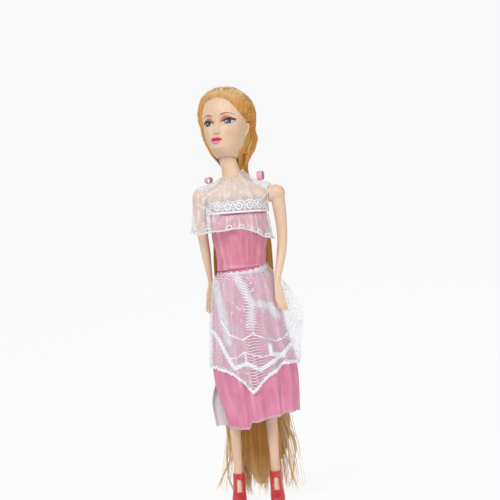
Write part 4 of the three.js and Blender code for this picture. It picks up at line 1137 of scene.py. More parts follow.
def thicken(obj, thick):
    only(obj)
    solid = obj.modifiers.new("Solidify", "SOLIDIFY")
    solid.thickness = thick * mm
    solid.offset = -1
    solid.use_even_offset = False
    finishModifiers(obj)


def finishCloth(obj, values, flat, material, body):
    # the right side looks away from the body's axis; then thickness and finish
    outward = 0
    for polygon in obj.data.polygons:
        place = polygon.center - at(0, 0, 0)
        outward += polygon.normal.dot(Vector((place.x, place.y, 0))) * polygon.area
    if outward < 0:
        editAll(obj, bpy.ops.mesh.flip_normals)
    area = sum(polygon.area for polygon in obj.data.polygons) / mm ** 2
    print("cloth", obj.name, round(area), "of", round(flat[0] * flat[1]))
    thicken(obj, values["thick"])
    return settle(obj, material, body, values["slot"], [values["node"]], 75)


def makeCloth(name, values, place, material, body="torso", closed=False):
    obj = clothGrid(name, values["grid"], place, values["flat"], closed)
    return finishCloth(obj, values, values["flat"], material, body)


def weightBy(obj, share):
    # how far each corner follows the second body
    layer = obj.data.attributes["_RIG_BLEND"]
    for vertex, item in zip(obj.data.vertices, layer.data):
        item.value = share(offBody(vertex.co))


def ovalPlace(turn, wide, ahead, behind):
    # a turn from the front, in degrees, on an oval with its own depth ahead and behind
    side, facing = sine(turn), cosine(turn)
    return wide * side, -(ahead if facing > 0 else behind) * facing


def satinFinish(name, colour, deep, shine):
    # satin: threads across and down, a soft uneven sheen, partly painted into the colour as lighter streaks,
    # and a few creases
    shop = Finish(name)
    cloth = shop.ownMap()
    place = shop.objectPlace()
    across, down, _ = shop.split(cloth)
    threads = (across * 24).sine() * 0.5 + (down * 30).sine() * 0.5
    cloud = shop.grain(place, 70, 3)
    streak = shop.grain(shop.stretched(cloth, (0.30, 0.035, 1)), 1.0, 2)
    tint = shop.mix(cloud.step(0.3, 0.7), colour, deep)
    tint = shop.mix(streak.step(0.46, 0.72) * 0.38, tint, shine)
    shop.set(
        colour=tint, roughness=0.30 + streak * 0.12 + threads * 0.02, sheen=0.25, sheenRoughness=0.3,
        anisotropic=0.4, specular=0.6,
        normal=shop.bump(threads * 0.12 + streak * 0.5, 0.2, 0.0005),
    )
    return shop.material


pinkSatin = satinFinish("pinkSatinFinish", (0.77, 0.27, 0.41), (0.68, 0.20, 0.33), (0.90, 0.52, 0.65))
bodiceSatin = satinFinish("bodiceSatinFinish", (0.72, 0.235, 0.33), (0.62, 0.17, 0.25), (0.90, 0.55, 0.64))
whiteLining = satinFinish("whiteLiningFinish", (0.84, 0.83, 0.86), (0.74, 0.73, 0.76), (0.93, 0.92, 0.95))


# Bodice with its back flap and the two fastening strips

bodiceValues = {
    "grid": (300, 60),
    "flat": (110, 41),
    "thick": 0.28,
    "slot": "pink_satin",
    "node": "bodice",
    "lap": 186,
    "lapStep": 2.4,
    "top": 207,
    "bottom": 166.4,
    "seam": 44,
}
bodiceTable = [
    (164.5, 17, 11.6, 10.2), (170, 17.1, 11.6, 10.2), (179, 17.9, 12.8, 10.2), (186, 19.2, 15, 10.4),
    (193, 19.9, 15.8, 10.6), (200, 20.1, 14.9, 10.6), (207, 20.2, 13.6, 10.2), (213, 20.2, 11.6, 9.8),
]
stripValues = {
    "grid": (10, 30),
    "flat": (4, 34.5),
    "thick": 0.5,
    "slot": "white_nylon",
    "start": 174.5,
    "span": 11,
    "top": 204,
    "offs": {"loop_strip": 0.8, "hook_strip": 1.6},
}


def bodicePoint(turn, height, off):
    wide, chest, spine = along(bodiceTable, height)
    return (*ovalPlace(turn, wide + off, chest + off, spine + off), height)


def bodicePlace(u, v):
    values = bodiceValues
    turn = values["lap"] * (2 * u - 1)
    height = partWay(values["top"], values["bottom"] + 1.2 * sine(turn), v)
    crease = 0.28 * math.sin(height * 0.7 + 0.05 * turn) * hump(height, 171, 5)
    ripple = 0.35 * math.sin(0.11 * turn + 0.5 * height)
    crease += ripple * hump(height, 181, 7) * between(20, 60, abs(turn))
    seam = values["seam"] - 10 * between(196, 170, height)
    crease -= 0.35 * hump(abs(turn), seam, 1.3)
    crease += 0.5 * between(168.6, 167.2, height)
    return bodicePoint(turn, height, values["lapStep"] * between(150, 172, turn) + crease - 0.15)


def stripFinish():
    shop = Finish("nylonStripFinish")
    across, down, _ = shop.split(shop.ownMap())
    loops = (across * 9).sine() * (down * 9).sine()
    fuzz = shop.grain(shop.objectPlace(), 1600, 3)
    tint = shop.mix(fuzz, (0.72, 0.72, 0.74), (0.93, 0.93, 0.93))
    height = shop.bump(loops + fuzz, 0.6, 0.0004)
    return shop.set(colour=tint, roughness=0.75 + fuzz * 0.1, sheen=0.2, normal=height)


def makeStrip(node, material):
    values = {**stripValues, "node": node}

    def place(u, v):
        height = values["top"] - values["flat"][1] * v
        return bodicePoint(values["start"] + values["span"] * u, height, values["offs"][node])
    return makeCloth(node + "_tape", values, place, material)


bodice = makeCloth("bodice_cloth", bodiceValues, bodicePlace, bodiceSatin)
nylon = stripFinish()
strips = [makeStrip(node, nylon) for node in stripValues["offs"]]


# Lace: the net of the overskirt with its worked bands, and the band along the neckline

laceValues = {
    "turns": (-100, 92),
    "grid": (270, 96),
    "flat": (104, 74),
    "thick": 0.2,
    "slot": "white_lace",
    "node": "lace_overskirt",
    "behind": 1.0,
    "cornerFrom": 0.86,
    "mirror": 53,
    "chevron": 0.8,
    "wideHalf": 1.3,
    "narrowHalf": 0.5,
    "hemBand": 2.4,
    # where the lace is gathered; its whiter cover there is partly a painted reflection
    "gathered": [
        [(-4, 160), (1, 150), (5, 141), (3, 126)],
        [(-20, 158), (-16, 138), (-13, 116)],
        [(10, 141), (17, 139), (22, 132)],
        [(-8, 164), (15, 166)],
    ],
    "wide": [
        [
            (-25.5, 124.5), (-22.4, 122.4), (-19.1, 117.2), (-15.5, 108.5), (-10, 97.6), (-1.4, 100.8),
            (8.1, 95.6), (23.5, 105), (32.6, 113.4), (37.7, 125.7),
        ],
        [(15.5, 112.2), (15.9, 106.2), (24.2, 104.2)],
    ],
    "narrow": [
        [(-13, 104.8), (-8.1, 104.8), (-2.2, 108.6), (9.4, 104.2), (15.9, 105.8)],
        [(14.5, 117.4), (20, 114.3), (26.5, 116.7), (34.2, 125.9)],
        [(-17, 131), (-12, 121), (-3, 117), (4, 121), (12, 117)],
        [(-1.4, 100.8), (-2.2, 108.6)],
    ],
}
trimValues = {
    "grid": (312, 14),
    "flat": (78, 8.4),
    "thick": 0.3,
    "slot": "white_lace",
    "node": "neckline_lace",
    "reach": 104,
    "top": 213.5,
    "bottom": 204.6,
    "cell": 8.0,
}


def lineDistance(lines, x, z):
    # how far a place is from the nearest of some bent lines, in millimetres
    best = 99.0
    for line in lines:
        for (ax, az), (bx, bz) in zip(line, line[1:]):
            dx, dz = bx - ax, bz - az
            share = min(max(((x - ax) * dx + (z - az) * dz) / (dx * dx + dz * dz), 0), 1)
            best = min(best, math.hypot(x - ax - dx * share, z - az - dz * share))
    return best


def laceSpace(place):
    # distances to the wide and narrow bands worked into the lace, and to where it is gathered and whitened
    # as a painted reflection
    spot = offBody(place)
    return [lineDistance(laceValues[kind], spot.x, spot.z) for kind in ("wide", "narrow", "gathered")]


def skirtLaceFinish():
    # slanting net that mirrors at one line, with worked bands, a scalloped hem and side edges
    shop = Finish("skirtLaceFinish")
    v = laceValues
    across, above, _ = shop.split(shop.ownMap())
    wide, narrow, bunchedAndGlare = shop.split(shop.attribute("laceSpace"))
    reach = abs(across - v["mirror"])
    uneven = shop.grain(shop.ownMap(), 0.30, 3)
    frayed = (shop.grain(shop.ownMap(), 1.6, 2) - 0.5) * 1.7
    slant = (above * 0.86 - reach * 0.50).zigzag(v["chevron"]).step(0.27, 0.16)
    cross = (above * 0.50 + reach * 0.86).zigzag(v["chevron"]).step(0.15, 0.07)
    flower = shop.grain(shop.ownMap(), 0.42, 2).step(0.58, 0.64) * 0.45
    # denser white lace where it is gathered, partly a painted reflection of glare
    flower = flower.larger((bunchedAndGlare + frayed * 2.6).step(4.2, 0.8) * (uneven * 0.6 + 0.2))
    bands = (wide + frayed).step(v["wideHalf"] + 0.15, v["wideHalf"] - 0.1)
    bands = bands.larger((narrow + frayed * 0.5).step(v["narrowHalf"] + 0.12, v["narrowHalf"] - 0.08))
    holes = ((across * 3.9).sine() * (above * 3.9).sine()).step(0.15, 0.5)
    rim = above.step(v["hemBand"] + 0.3, v["hemBand"])
    rim = rim.larger(across.step(v["flat"][0] - 1.6, v["flat"][0] - 1.3)).larger(across.step(1.4, 1.1))
    worked = bands.larger(rim) * (1 - holes * 0.62)
    net = (slant * (0.62 + uneven * 0.45)).larger(cross * 0.42).larger(flower)
    cover = net.larger(worked).smaller(1)
    fuzz = shop.grain(shop.objectPlace(), 1500, 2)
    tint = shop.mix(fuzz, (0.90, 0.90, 0.95), (0.97, 0.97, 1.0))
    relief = shop.bump(cover * 0.7 + fuzz * 0.3, 0.5, 0.0003)
    return shop.set(colour=tint, roughness=0.7 + fuzz * 0.1, sheen=0.15, alpha=cover, normal=relief)


def trimLaceFinish():
    # rings in a row between two bars, on a fine net; the map is in millimetres
    shop = Finish("trimLaceFinish")
    across, down, _ = shop.split(shop.ownMap())
    cell = trimValues["cell"]
    near = across.zigzag(cell / 2)
    far = cell / 2 - near
    reach = (near ** 2 + (down - 3.9) ** 2) ** 0.5
    ring = abs(reach - 2.15).step(0.62, 0.42).larger((reach - 0.95).step(0.35, 0.1) * (near * 3).sine())
    small = abs(((far ** 2 + (down - 2.6) ** 2) ** 0.5) - 1.1).step(0.46, 0.28)
    leaf = abs(((far ** 2 + (down - 5.6) ** 2) ** 0.5) - 0.85).step(0.42, 0.24)
    bars = abs(down - 7.6).step(0.62, 0.42).larger(abs(down - 0.4).step(0.6, 0.4))
    net = (across + down).zigzag(0.55).step(0.13, 0.07)
    net = net.larger((across - down).zigzag(0.55).step(0.13, 0.07))
    cover = (net * 0.7).larger(ring).larger(small).larger(leaf).larger(bars).smaller(1)
    fuzz = shop.grain(shop.objectPlace(), 1500, 2)
    tint = shop.mix(fuzz, (0.86, 0.84, 0.88), (0.96, 0.95, 0.97))
    relief = shop.bump(cover * 0.8 + fuzz * 0.2, 0.6, 0.0004)
    return shop.set(colour=tint, roughness=0.55 + fuzz * 0.1, sheen=0.2, alpha=cover, normal=relief)


trimLace = trimLaceFinish()
skirtLace = skirtLaceFinish()


def trimTop(turn):
    values = trimValues
    cells = (turn + values["reach"]) / (2 * values["reach"]) * values["flat"][0] / values["cell"]
    scallop = 1 - abs(math.cos(math.pi * cells))
    return values["top"] - 2.6 * between(50, 90, abs(turn)) - 1.3 * scallop


def trimPlace(u, v):
    turn = trimValues["reach"] * (2 * u - 1)
    height = partWay(trimTop(turn), trimValues["bottom"], v)
    return bodicePoint(turn, height, 1.0 + 0.6 * v + 0.25 * sine(turn * 5))


trim = makeCloth("neckline_lace_band", trimValues, trimPlace, trimLace)


# Sheer yoke and the ruffle that hangs from it

yokeValues = {
    "grid": (160, 24),
    "flat": (118, 22),
    "thick": 0.12,
    "slot": "white_organza",
    "node": "sheer_yoke",
    "stand": 5,
    "ahead": [(0, 8.2, 227.8), (0.6, 11.2, 215), (1, 12.2, 206)],
    "behind": [(0, 9.2, 230), (1, 14, 209.6)],
    "left": [(0, 9.4, 229.4), (0.4, 18.6, 226.4), (0.75, 23.6, 225), (1, 25.6, 222)],
    "right": [(0, 9.4, 229.4), (0.4, 19, 226), (0.72, 26, 225), (0.9, 30.4, 220.5), (1, 31.4, 214.5)],
}
ruffleValues = {
    "grid": (330, 26),
    "flat": (178, 13.5),
    "thick": 0.12,
    "slot": "white_organza",
    "node": "collar_ruffle",
    "top": 203.2,
    "length": 11,
    "waves": 11,
    "waveDepth": 1.9,
    "follow": 0.55,
}
edgeValues = {
    "radius": 0.52,
    "curl": 1.25,
    "curlSpan": 0.011,
    "curls": (0.05, 0.27, 0.375, 0.455, 0.515, 0.60, 0.655, 0.84),
}


def yokePoint(turn, v):
    side, facing = sine(turn), cosine(turn)
    reachY, heightY = along(yokeValues["ahead" if facing > 0 else "behind"], v)
    reachX, heightX = along(yokeValues["left" if side > 0 else "right"], v)
    height = partWay(heightY, heightX, side * side)
    return -1.8 * (1 - v) + reachX * side, 0.8 * side * side - reachY * facing, height


def yokePlace(u, v):
    # the sheer collar stands up beside the neck on the left and ripples a little
    turn = -180 + 360 * u
    x, y, z = yokePoint(turn, v)
    side = sine(turn)
    stand = yokeValues["stand"] * between(0.1, 0.95, side) * max(1 - v * 3.2, 0) ** 1.5
    ripple = 0.3 * sine(turn * 9) * v + 0.22 * sine(turn * 21) * (1 - v) ** 2
    return x - 0.3 * stand * side, y, z + ripple + stand


def rufflePoint(turn, v):
    values = ruffleValues
    side, facing = sine(turn), cosine(turn)
    right = between(0.4, 0.95, -side)
    wave = cosine(values["waves"] * turn) * values["waveDepth"] * v * (1 - 0.4 * between(0.3, 0.9, side))
    raised = 10 * right + 3 * between(0.2, 0.9, -facing) * (1 - right)
    reachX = 21.6 + 9.6 * between(0.15, 0.95, -side) + 1.6 * v
    reachY = 15 + 5.2 * v ** 0.8 + wave if facing > 0 else 13.4 + v + 0.3 * wave
    length = values["length"] + 6 * between(0.2, 1, side) - 2 * hump(turn, -5, 25)
    length += 0.75 * raised + 2.6 * hump(turn, -58, 12)
    x = (reachX + 0.6 * wave) * side
    return x, 0.6 * side * side - reachY * facing, values["top"] + raised - length * v


def rightShare(place):
    # the right shoulder's cloth follows that arm a little
    return ruffleValues["follow"] * between(-20, -33, place.x) * between(226, 200, place.z)


def organzaFinish():
    # sheer organza: a very fine open weave that thickens at folds
    shop = Finish("organzaFinish")
    cloth = shop.ownMap()
    across, down, _ = shop.split(cloth)
    threads = ((across * 26).sine() * 0.5 + (down * 26).sine() * 0.5).step(-0.4, 0.8)
    fold = shop.grain(shop.stretched(cloth, (0.45, 0.12, 1)), 1, 3)
    cover = threads * 0.10 + 0.13 + fold.step(0.45, 0.70) * 0.24
    tint = shop.mix(fold, (0.93, 0.93, 0.94), (0.99, 0.99, 0.99))
    relief = shop.bump(threads * 0.3 + fold * 0.7, 0.3, 0.0004)
    return shop.set(colour=tint, roughness=0.45 + fold * 0.2, sheen=0.3, alpha=cover, normal=relief)


def threadFinish(name, pale, deep):
    shop = Finish(name)
    across, down, _ = shop.split(shop.ownMap())
    wraps = (across * 14 + down * 3).sine()
    fuzz = shop.grain(shop.objectPlace(), 1500, 2)
    tint = shop.mix(wraps.step(-0.9, 0.6) * 0.7 + fuzz * 0.3, deep, pale)
    relief = shop.bump(wraps + fuzz, 0.5, 0.0003)
    return shop.set(colour=tint, roughness=0.6 + fuzz * 0.1, sheen=0.2, normal=relief)


organza = organzaFinish()
whiteThread = threadFinish("whiteThreadFinish", (0.97, 0.97, 0.97), (0.84, 0.84, 0.85))
pinkThread = threadFinish("pinkThreadFinish", (0.88, 0.56, 0.66), (0.66, 0.30, 0.42))
yoke = makeCloth("sheer_yoke_cloth", yokeValues, yokePlace, organza, None, True)
ruffle = makeCloth(
    "collar_ruffle_cloth", ruffleValues, lambda u, v: rufflePoint(-180 + 360 * u, v), organza, None, True,
)


def tubeGrid(name, centre, radius, steps, around, closed=True):
    # a cord along centre(u), as a closed or open tube
    def place(u, v):
        here = Vector(centre(u))
        step = 0.5 / steps
        run = (Vector(centre(u + step)) - Vector(centre(u - step))).normalized()
        out = Vector((here.x, here.y, 0)).normalized()
        up = run.cross(out).normalized()
        turn = 2 * math.pi * v
        return here + radius * (math.cos(turn) * out + math.sin(turn) * up)
    obj = clothGrid(name, (steps, around), place, (180, 3), True)
    if not closed:
        editAll(obj, bpy.ops.mesh.fill_holes, sides=around + 1)
    return obj


def edgeLine(u):
    # the corded hem, which rolls up in a small curl here and there
    v = edgeValues
    drift = 0.0
    rise = 0.0
    for place in v["curls"]:
        share = (u - place) / v["curlSpan"]
        if abs(share) < 1:
            turn = math.pi * (share + 1)
            drift += v["curl"] * 2.1 * math.sin(turn) / 360 * 2.4
            rise += v["curl"] * (1 - math.cos(turn))
    x, y, z = rufflePoint(-180 + 360 * (u + drift), 1)
    outward = 1 + 0.012 * rise
    return x * outward, y * outward, z - 0.45 + rise + 0.2 * math.sin(2 * math.pi * 62 * u)


def picotLine(down, depth, count):
    # a fine cord along an edge of the yoke, in little loops
    def line(u):
        x, y, z = yokePlace(u, down)
        return x, y, z + depth * abs(math.sin(math.pi * count * u))
    return line


def trimLine(level, off):
    # a cord along the neckline lace at the height that level gives
    def line(u):
        turn = trimValues["reach"] * (2 * u - 1)
        return bodicePoint(turn, level(turn), off)
    return line


def whiteCord(body, node, *pieces):
    return settle(joinPieces(pieces), whiteThread, body, "white_thread", [node], 75)


edge = whiteCord(
    None, "ruffle_edge", tubeGrid("ruffle_edge_cord", edgeLine, edgeValues["radius"], 900, 10),
)
yokeCords = whiteCord(
    None, "sheer_yoke",
    tubeGrid("yoke_cords", picotLine(0, 0.7, 36), 0.3, 430, 8),
    tubeGrid("yoke_cords", picotLine(1, -0.7, 90), 0.3, 700, 8),
)
trimCords = whiteCord(
    "torso", "neckline_lace",
    tubeGrid("trim_cords", trimLine(trimTop, 0.95), 0.34, 520, 8, False),
    tubeGrid("trim_cords", trimLine(lambda turn: trimValues["bottom"] + 0.1, 1.55), 0.32, 200, 8, False),
)
for piece in (yoke, ruffle, edge, yokeCords):
    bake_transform(piece, "torso", "right_arm", at(0, 0, 240), at(0, 0, 180))
    weightBy(piece, rightShare)


# Ribbon loops on the shoulders

ribbonValues = {
    "width": 4,
    "thick": 0.35,
    "grid": (56, 8),
    "left": {"seat": (90, 0.4), "wide": 5.4, "tall": 6.4, "facing": 68},
    "right": {"seat": (-90, 0.34), "wide": 5.0, "tall": 4.6, "facing": 35},
}


def ribbonFinish():
    shop = Finish("pinkRibbonFinish")
    across, _, _ = shop.split(shop.ownMap())
    ribs = (across * 20).sine()
    cloud = shop.grain(shop.objectPlace(), 200, 2)
    tint = shop.mix(cloud, (0.80, 0.34, 0.47), (0.88, 0.47, 0.58))
    relief = shop.bump(ribs * 0.6 + cloud, 0.3, 0.0003)
    return shop.set(colour=tint, roughness=0.38 + cloud * 0.1, sheen=0.3, normal=relief)


def makeRibbon(which, material):
    values = ribbonValues[which]
    wide, tall, facing = values["wide"], values["tall"], values["facing"]
    seat = yokePoint(*values["seat"])

    def place(u, v):
        turn = 2 * math.pi * u
        pinch = 1 - 0.18 * hump(math.sin(turn / 2), 0, 0.3)
        across, deep = wide / 2 * math.sin(turn), (v - 0.5) * ribbonValues["width"] * pinch
        x = seat[0] + across * cosine(facing) - deep * sine(facing)
        y = seat[1] + across * sine(facing) + deep * cosine(facing)
        return x, y, seat[2] + tall / 2 + 0.3 - tall / 2 * math.cos(turn)
    loop = clothGrid("ribbon_%s_loop" % which, ribbonValues["grid"], place, (20, 4), True)
    thicken(loop, ribbonValues["thick"])
    return settle(loop, material, "torso", "pink_ribbon", ["ribbon_" + which], 60)


ribbonSatin = ribbonFinish()
ribbons = [makeRibbon(which, ribbonSatin) for which in ("left", "right")]
print("stage: bodice, yoke and ruffle")


# Skirts, each in a left and a right half so that each follows its own leg

skirtValues = {
    "turns": (-104, 104),
    "grid": (300, 90),
    "flat": (92, 112),
    "thick": 0.25,
    "slot": "pink_satin",
    "node": "satin_skirt",
    "behind": 1.0,
    "waist": 168.5,
}
hemValues = {
    "turns": (-104, 104),
    "grid": (440, 4),
    "flat": (92, 1.6),
    "thick": 0.6,
    "slot": "pink_thread",
    "node": "skirt_hem",
    "behind": 1.0,
}
panelValues = {
    "turns": (98, 254.5),
    "grid": (150, 80),
    "flat": (66, 112),
    "thick": 0.25,
    "slot": "white_lining",
    "node": "skirt_back_panel",
    "behind": 0.66,
}
skirtTable = [
    (58.5, 6.9, 25.8, 13.2, 15), (95, 4.9, 28.4, 15.2, 16), (120, 2.5, 25, 15.2, 15.4),
    (146, 1, 22.2, 14.6, 15.4), (158, 0, 19.8, 13.2, 14.6), (163.7, 0, 16.1, 10.7, 9.3),
    (168.5, 0, 16.1, 10.7, 9.3),
]
# the lace's lower edge: a turn from the front and its height
laceEnds = [
    (-100, 98.5), (-60, 97), (-36, 93.5), (-22, 88), (-9, 80), (-6, 80), (5, 85.5), (17, 90.5),
    (30, 95), (44, 98.2), (92, 97.5),
]
# how far the free corner stands out, from the waist to the lower edge
cornerReach = [(0, 0.6), (0.15, 4.4), (0.48, 14.2), (0.58, 13.4), (0.75, 8.8), (1, 2.2)]


def skirtPoint(turn, height, off):
    middle, wide, ahead, behind = along(skirtTable, max(height, 52))
    depth = 1.5 * between(165.5, 120, height) + 0.25 * hump(height, 160, 6)
    fold = depth * math.cos(math.radians(13 * turn) + 0.6) * (0.6 + 0.4 * sine(3 * turn))
    fold += off + 0.25 * depth * math.sin(math.radians(29 * turn) + 0.02 * height)
    x, y = ovalPlace(turn, wide + fold, ahead + fold, behind + fold)
    return middle + x, y, height


def skirtHem(turn):
    step = between(-18, -22, turn) * (4.4 - 1.2 * between(-20, -80, turn))
    return 59 + 5.6 * between(-0.4, 1, sine(turn)) - step + 0.3 * sine(turn * 11)


def pleat(turn, height):
    # one deeper fold runs down the front, left of the middle
    fall = between(150, 70, height)
    return fall * (0.9 * hump(turn, -26, 5) - 1.1 * hump(turn, -19, 3.2))


def satinPoint(turn, height, off):
    # the right edge of the satin stands back from the white panel at the bottom
    x, y, z = skirtPoint(turn, height, off + pleat(turn, height))
    return x + 4.2 * between(-50, -100, turn) * between(88, 56, height), y, z


def satinPlace(turn, v):
    return satinPoint(turn, partWay(skirtValues["waist"], skirtHem(turn) + 1.4, v ** 1.2), 0)


def hemPlace(turn, v):
    rough = 0.12 * sine(turn * 90)
    return satinPoint(turn, skirtHem(turn) + hemValues["flat"][1] * (1 - v), 0.12 + rough)


def panelPlace(turn, v):
    first, last = panelValues["turns"]
    u = (turn - first) / (last - first)
    bottom = 56.7 + 11.5 * between(0.6, 0.05, u)
    height = partWay(skirtValues["waist"], bottom, v ** 1.2)
    x, y, z = skirtPoint(turn, height, -1.1)
    peek = between(0.8, 1, u) * between(100, 70, height)
    return x - 9.5 * peek, y - 2.5 * peek, z


def laceHem(turn):
    scallop = 0.55 * abs(sine(turn * 32))
    return along(laceEnds, turn)[0] - scallop


def lacePlace(turn, v):
    # past the left hip the lace runs on into a free corner
    first, last = laceValues["turns"]
    start = laceValues["cornerFrom"]
    reach = (turn - first) / (last - first)
    past = max(reach - start, 0) / (1 - start)
    turn = first + (last - first) * min(reach, start) / start
    top = 164 + 3.4 * between(0, 70, turn) + 0.5 * sine(turn * 24)
    height = partWay(top, laceHem(turn), v)
    drape = 0.5 * math.sin(0.16 * turn + 0.03 * height) * between(150, 115, height)
    x, y, z = skirtPoint(turn, height, 1.5 + drape + 0.5 * pleat(turn, height))
    return x + past * along(cornerReach, v)[0], y + 2.6 * past, z + 1.5 * past * (1 - v)


def laceTurnAt(x):
    # the grid's turn where the lace crosses x at mid height
    low, high = -60.0, 60.0
    for _ in range(30):
        middle = (low + high) / 2
        low, high = (middle, high) if lacePlace(middle, 0.6)[0] < x else (low, middle)
    return low


def legShare(side, behind=1.0):
    # cloth below the hip follows its leg, the waist and the middle line stay with the torso;
    # behind is how closely it follows at the back, and cloth beside the hand hangs back
    def share(place):
        reach = 5.5 + 3.5 * between(110, 62, place.z)
        follow = 1 - (1 - behind) * between(3, 12, place.y)
        follow *= 1 - between(19, 24, side * place.x) * between(118, 140, place.z)
        return follow * between(158, 112, place.z) * between(0, reach, side * place.x)
    return share


def makeHalves(name, values, middle, place, material):
    # turns run from one edge to the other and pass middle
    halves = []
    low, high = values["turns"]
    flat = values["flat"]
    for part, (first, last) in zip("ab", ((low, middle), (middle, high))):
        share = (last - first) / (high - low)
        own = (flat[0] * share, flat[1])
        half = clothGrid(
            name + "_" + part, (round(values["grid"][0] * share), values["grid"][1]),
            lambda u, v: place(first + (last - first) * u, v), own,
        )
        for corner in half.data.uv_layers[0].data:
            corner.uv.x += flat[0] * (first - low) / (high - low)
            corner.uv.y = flat[1] - corner.uv.y
        finishCloth(half, values, own, material, None)
        centre = sum((vertex.co.x for vertex in half.data.vertices)) / len(half.data.vertices) - bodyX
        side = 1 if centre > 0 else -1
        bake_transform(half, "torso", "left_leg" if side > 0 else "right_leg", at(0, 0, 160), at(0, 0, 60))
        weightBy(half, legShare(side, values["behind"]))
        halves.append((half, own[0]))
    return halves


skirts = makeHalves("satin_skirt_cloth", skirtValues, 0, satinPlace, pinkSatin)
hems = makeHalves("skirt_hem_band", hemValues, 0, hemPlace, pinkThread)
panels = makeHalves("skirt_back_panel_cloth", panelValues, 180, panelPlace, whiteLining)
laces = makeHalves("lace_overskirt_cloth", laceValues, laceTurnAt(0), lacePlace, skirtLace)
for piece, _ in laces:
    storeVector(piece, "laceSpace", laceSpace)
print("stage: skirts")


# Hair: a combed cap on the head, strands over it and a long fall behind the back

hairValues = {
    "seed": 11,
    "scalpStrands": 620,
    "scalpSteps": 20,
    "fallClumps": 64,
    "perClump": 13,
    "fallSteps": 32,
    "locks": [
        [(8, 21.5, 15), (22, 26.5, 16), (36, 29.2, 17), (58, 22.5, 18), (90, 17, 19)],
        [(5, 27, 14), (20, 24.5, 15), (45, 20.5, 17), (90, 15, 19)],
        [(3, 7, 12), (18, 15, 14), (40, 17.5, 16), (90, 12, 19)],
        [(10, -30, 15), (20, -24, 16), (33, -17, 17), (54, -17, 18), (90, -13, 19)],
        [(2, -13, 11), (15, -20, 13), (34, -19.5, 16), (90, -12, 19)],
        [(4, -4, 10), (20, -9, 13), (45, -8, 17), (90, -5, 19)],
    ],
    "perLock": 14,
    "scalpRadius": (0.22, 0.42),
    "fallRadius": (0.22, 0.42),
    "lockRadius": (0.18, 0.32),
    "bridgeRadius": (0.25, 0.42),
    "loosened": 0.3,
    "tubeSides": 3,
    "coreTop": 246,
    "coreBottom": 11,
    "coreSteps": 48,
    "top": 273,
    "split": 190,
    "bridge": 260,
    "follow": 0.62,
}
hairlines = {
    "left": [
        (8, 118), (14, 116), (19, 112), (22.5, 96), (25, 76), (28, 58), (31, 46), (34.5, 34),
        (37, 20), (38.7, 0), (45.5, -34),
    ],
    "right": [
        (8, 84), (14, 78), (19, 73), (25, 69), (31, 63), (35.5, 56), (37.5, 46), (38.3, 28),
        (38.8, 0), (45.5, -34),
    ],
}
fallTable = [
    (2.5, 2, 17, 31, 2.45), (25, 3, 18, 28.5, 2.55), (60, 3, 20.6, 24, 2.25), (110, 1.5, 21.4, 20, 2.25),
    (140, 1, 20.4, 20, 2.25), (168, 1, 18.4, 20.5, 2.25), (190, 1.5, 18.4, 19.5, 2.25),
    (207, 1.6, 17, 16.5, 2.25), (222, 1.2, 14.2, 12, 2.25), (232, 0.2, 12.8, 9, 2.45),
    (239.6, -0.2, 12.2, 8.6, 2.5), (246, 1.2, 11.6, 11.6, 3.8), (252, 2.6, 10.6, 13.8, 5.2),
    (258, 3.4, 9.5, 14, 6), (266, 3.2, 8.5, 11.8, 6), (276, 2.5, 8, 7, 5),
]


def hairFinish():
    # the strand attribute holds a tint, the share of paleness (towards the tip, and on the crown as a
    # painted highlight) and a share along
    shop = Finish("blondHairFinish")
    tint, pale, _ = shop.split(shop.attribute("strand"))
    place = shop.objectPlace()
    streak = shop.grain(shop.stretched(place, (1, 1, 0.06)), 600, 3)
    tone = shop.mix(tint.step(0.1, 0.9), (0.46, 0.175, 0.024), (0.84, 0.43, 0.09))
    tone = shop.mix(streak.step(0.35, 0.7) * 0.4, tone, (0.82, 0.50, 0.15))
    tone = shop.mix(pale, tone, (0.84, 0.70, 0.45))
    shop.set(
        colour=tone, roughness=0.34 + streak * 0.14, specular=0.4, anisotropic=0.5,
        normal=shop.bump(streak, 0.3, 0.0003),
    )
    return shop.material


blondHair = hairFinish()


def paleAndLitAt(place):
    # the crown is paler as a painted highlight of light from above; the tips and the low sides are paler in
    # their own colour, and the paleness reaches higher up the fall as painted light where the skirt shades
    # it
    side = between(13, 24, abs(place.x - 2)) * between(75, 45, place.z)
    return 0.4 * between(276, 294, place.z) + 0.7 * max(between(38, 3, place.z), side)


def tintCore(obj, tint):
    storeVector(obj, "strand", lambda place: (tint, paleAndLitAt(offBody(place)), 0))


def strandMesh(name, strands):
    # strands hold places, a radius in millimetres, a tint and which of the places are used;
    # each becomes a closed thin tube
    points, faces, shares = [], [], []
    sides = hairValues["tubeSides"]
    for places, radius, tint, used in strands:
        base, end, last = len(points), len(places) - 1, len(used) - 1
        for i in used:
            place = places[i]
            run = (places[min(i + 1, end)] - places[max(i - 1, 0)]).normalized()
            out = run.cross(Vector((0.3, 1, 0.2))).normalized()
            up = run.cross(out)
            size = radius * mm * (1 - 0.75 * (i / end) ** 3) * between(-0.12, 0.12, i / end)
            for k in range(sides):
                turn = 2 * math.pi * k / sides
                points.append(place + size * (math.cos(turn) * out + math.sin(turn) * up))
                shares.append((tint, paleAndLitAt(offBody(place)), i / end))
        for i in range(last):
            for k in range(sides):
                a, b = base + i * sides + k, base + i * sides + (k + 1) % sides
                faces.append((a, b, b + sides, a + sides))
        faces.append([base + k for k in reversed(range(sides))])
        faces.append([base + last * sides + k for k in range(sides)])
    mesh = bpy.data.meshes.new(name)
    mesh.from_pydata(points, [], faces)
    obj = bpy.data.objects.new(name, mesh)
    bpy.context.collection.objects.link(obj)
    layer = mesh.attributes.new("strand", "FLOAT_VECTOR", "POINT")
    for share, item in zip(shares, layer.data):
        item.vector = share
    return obj


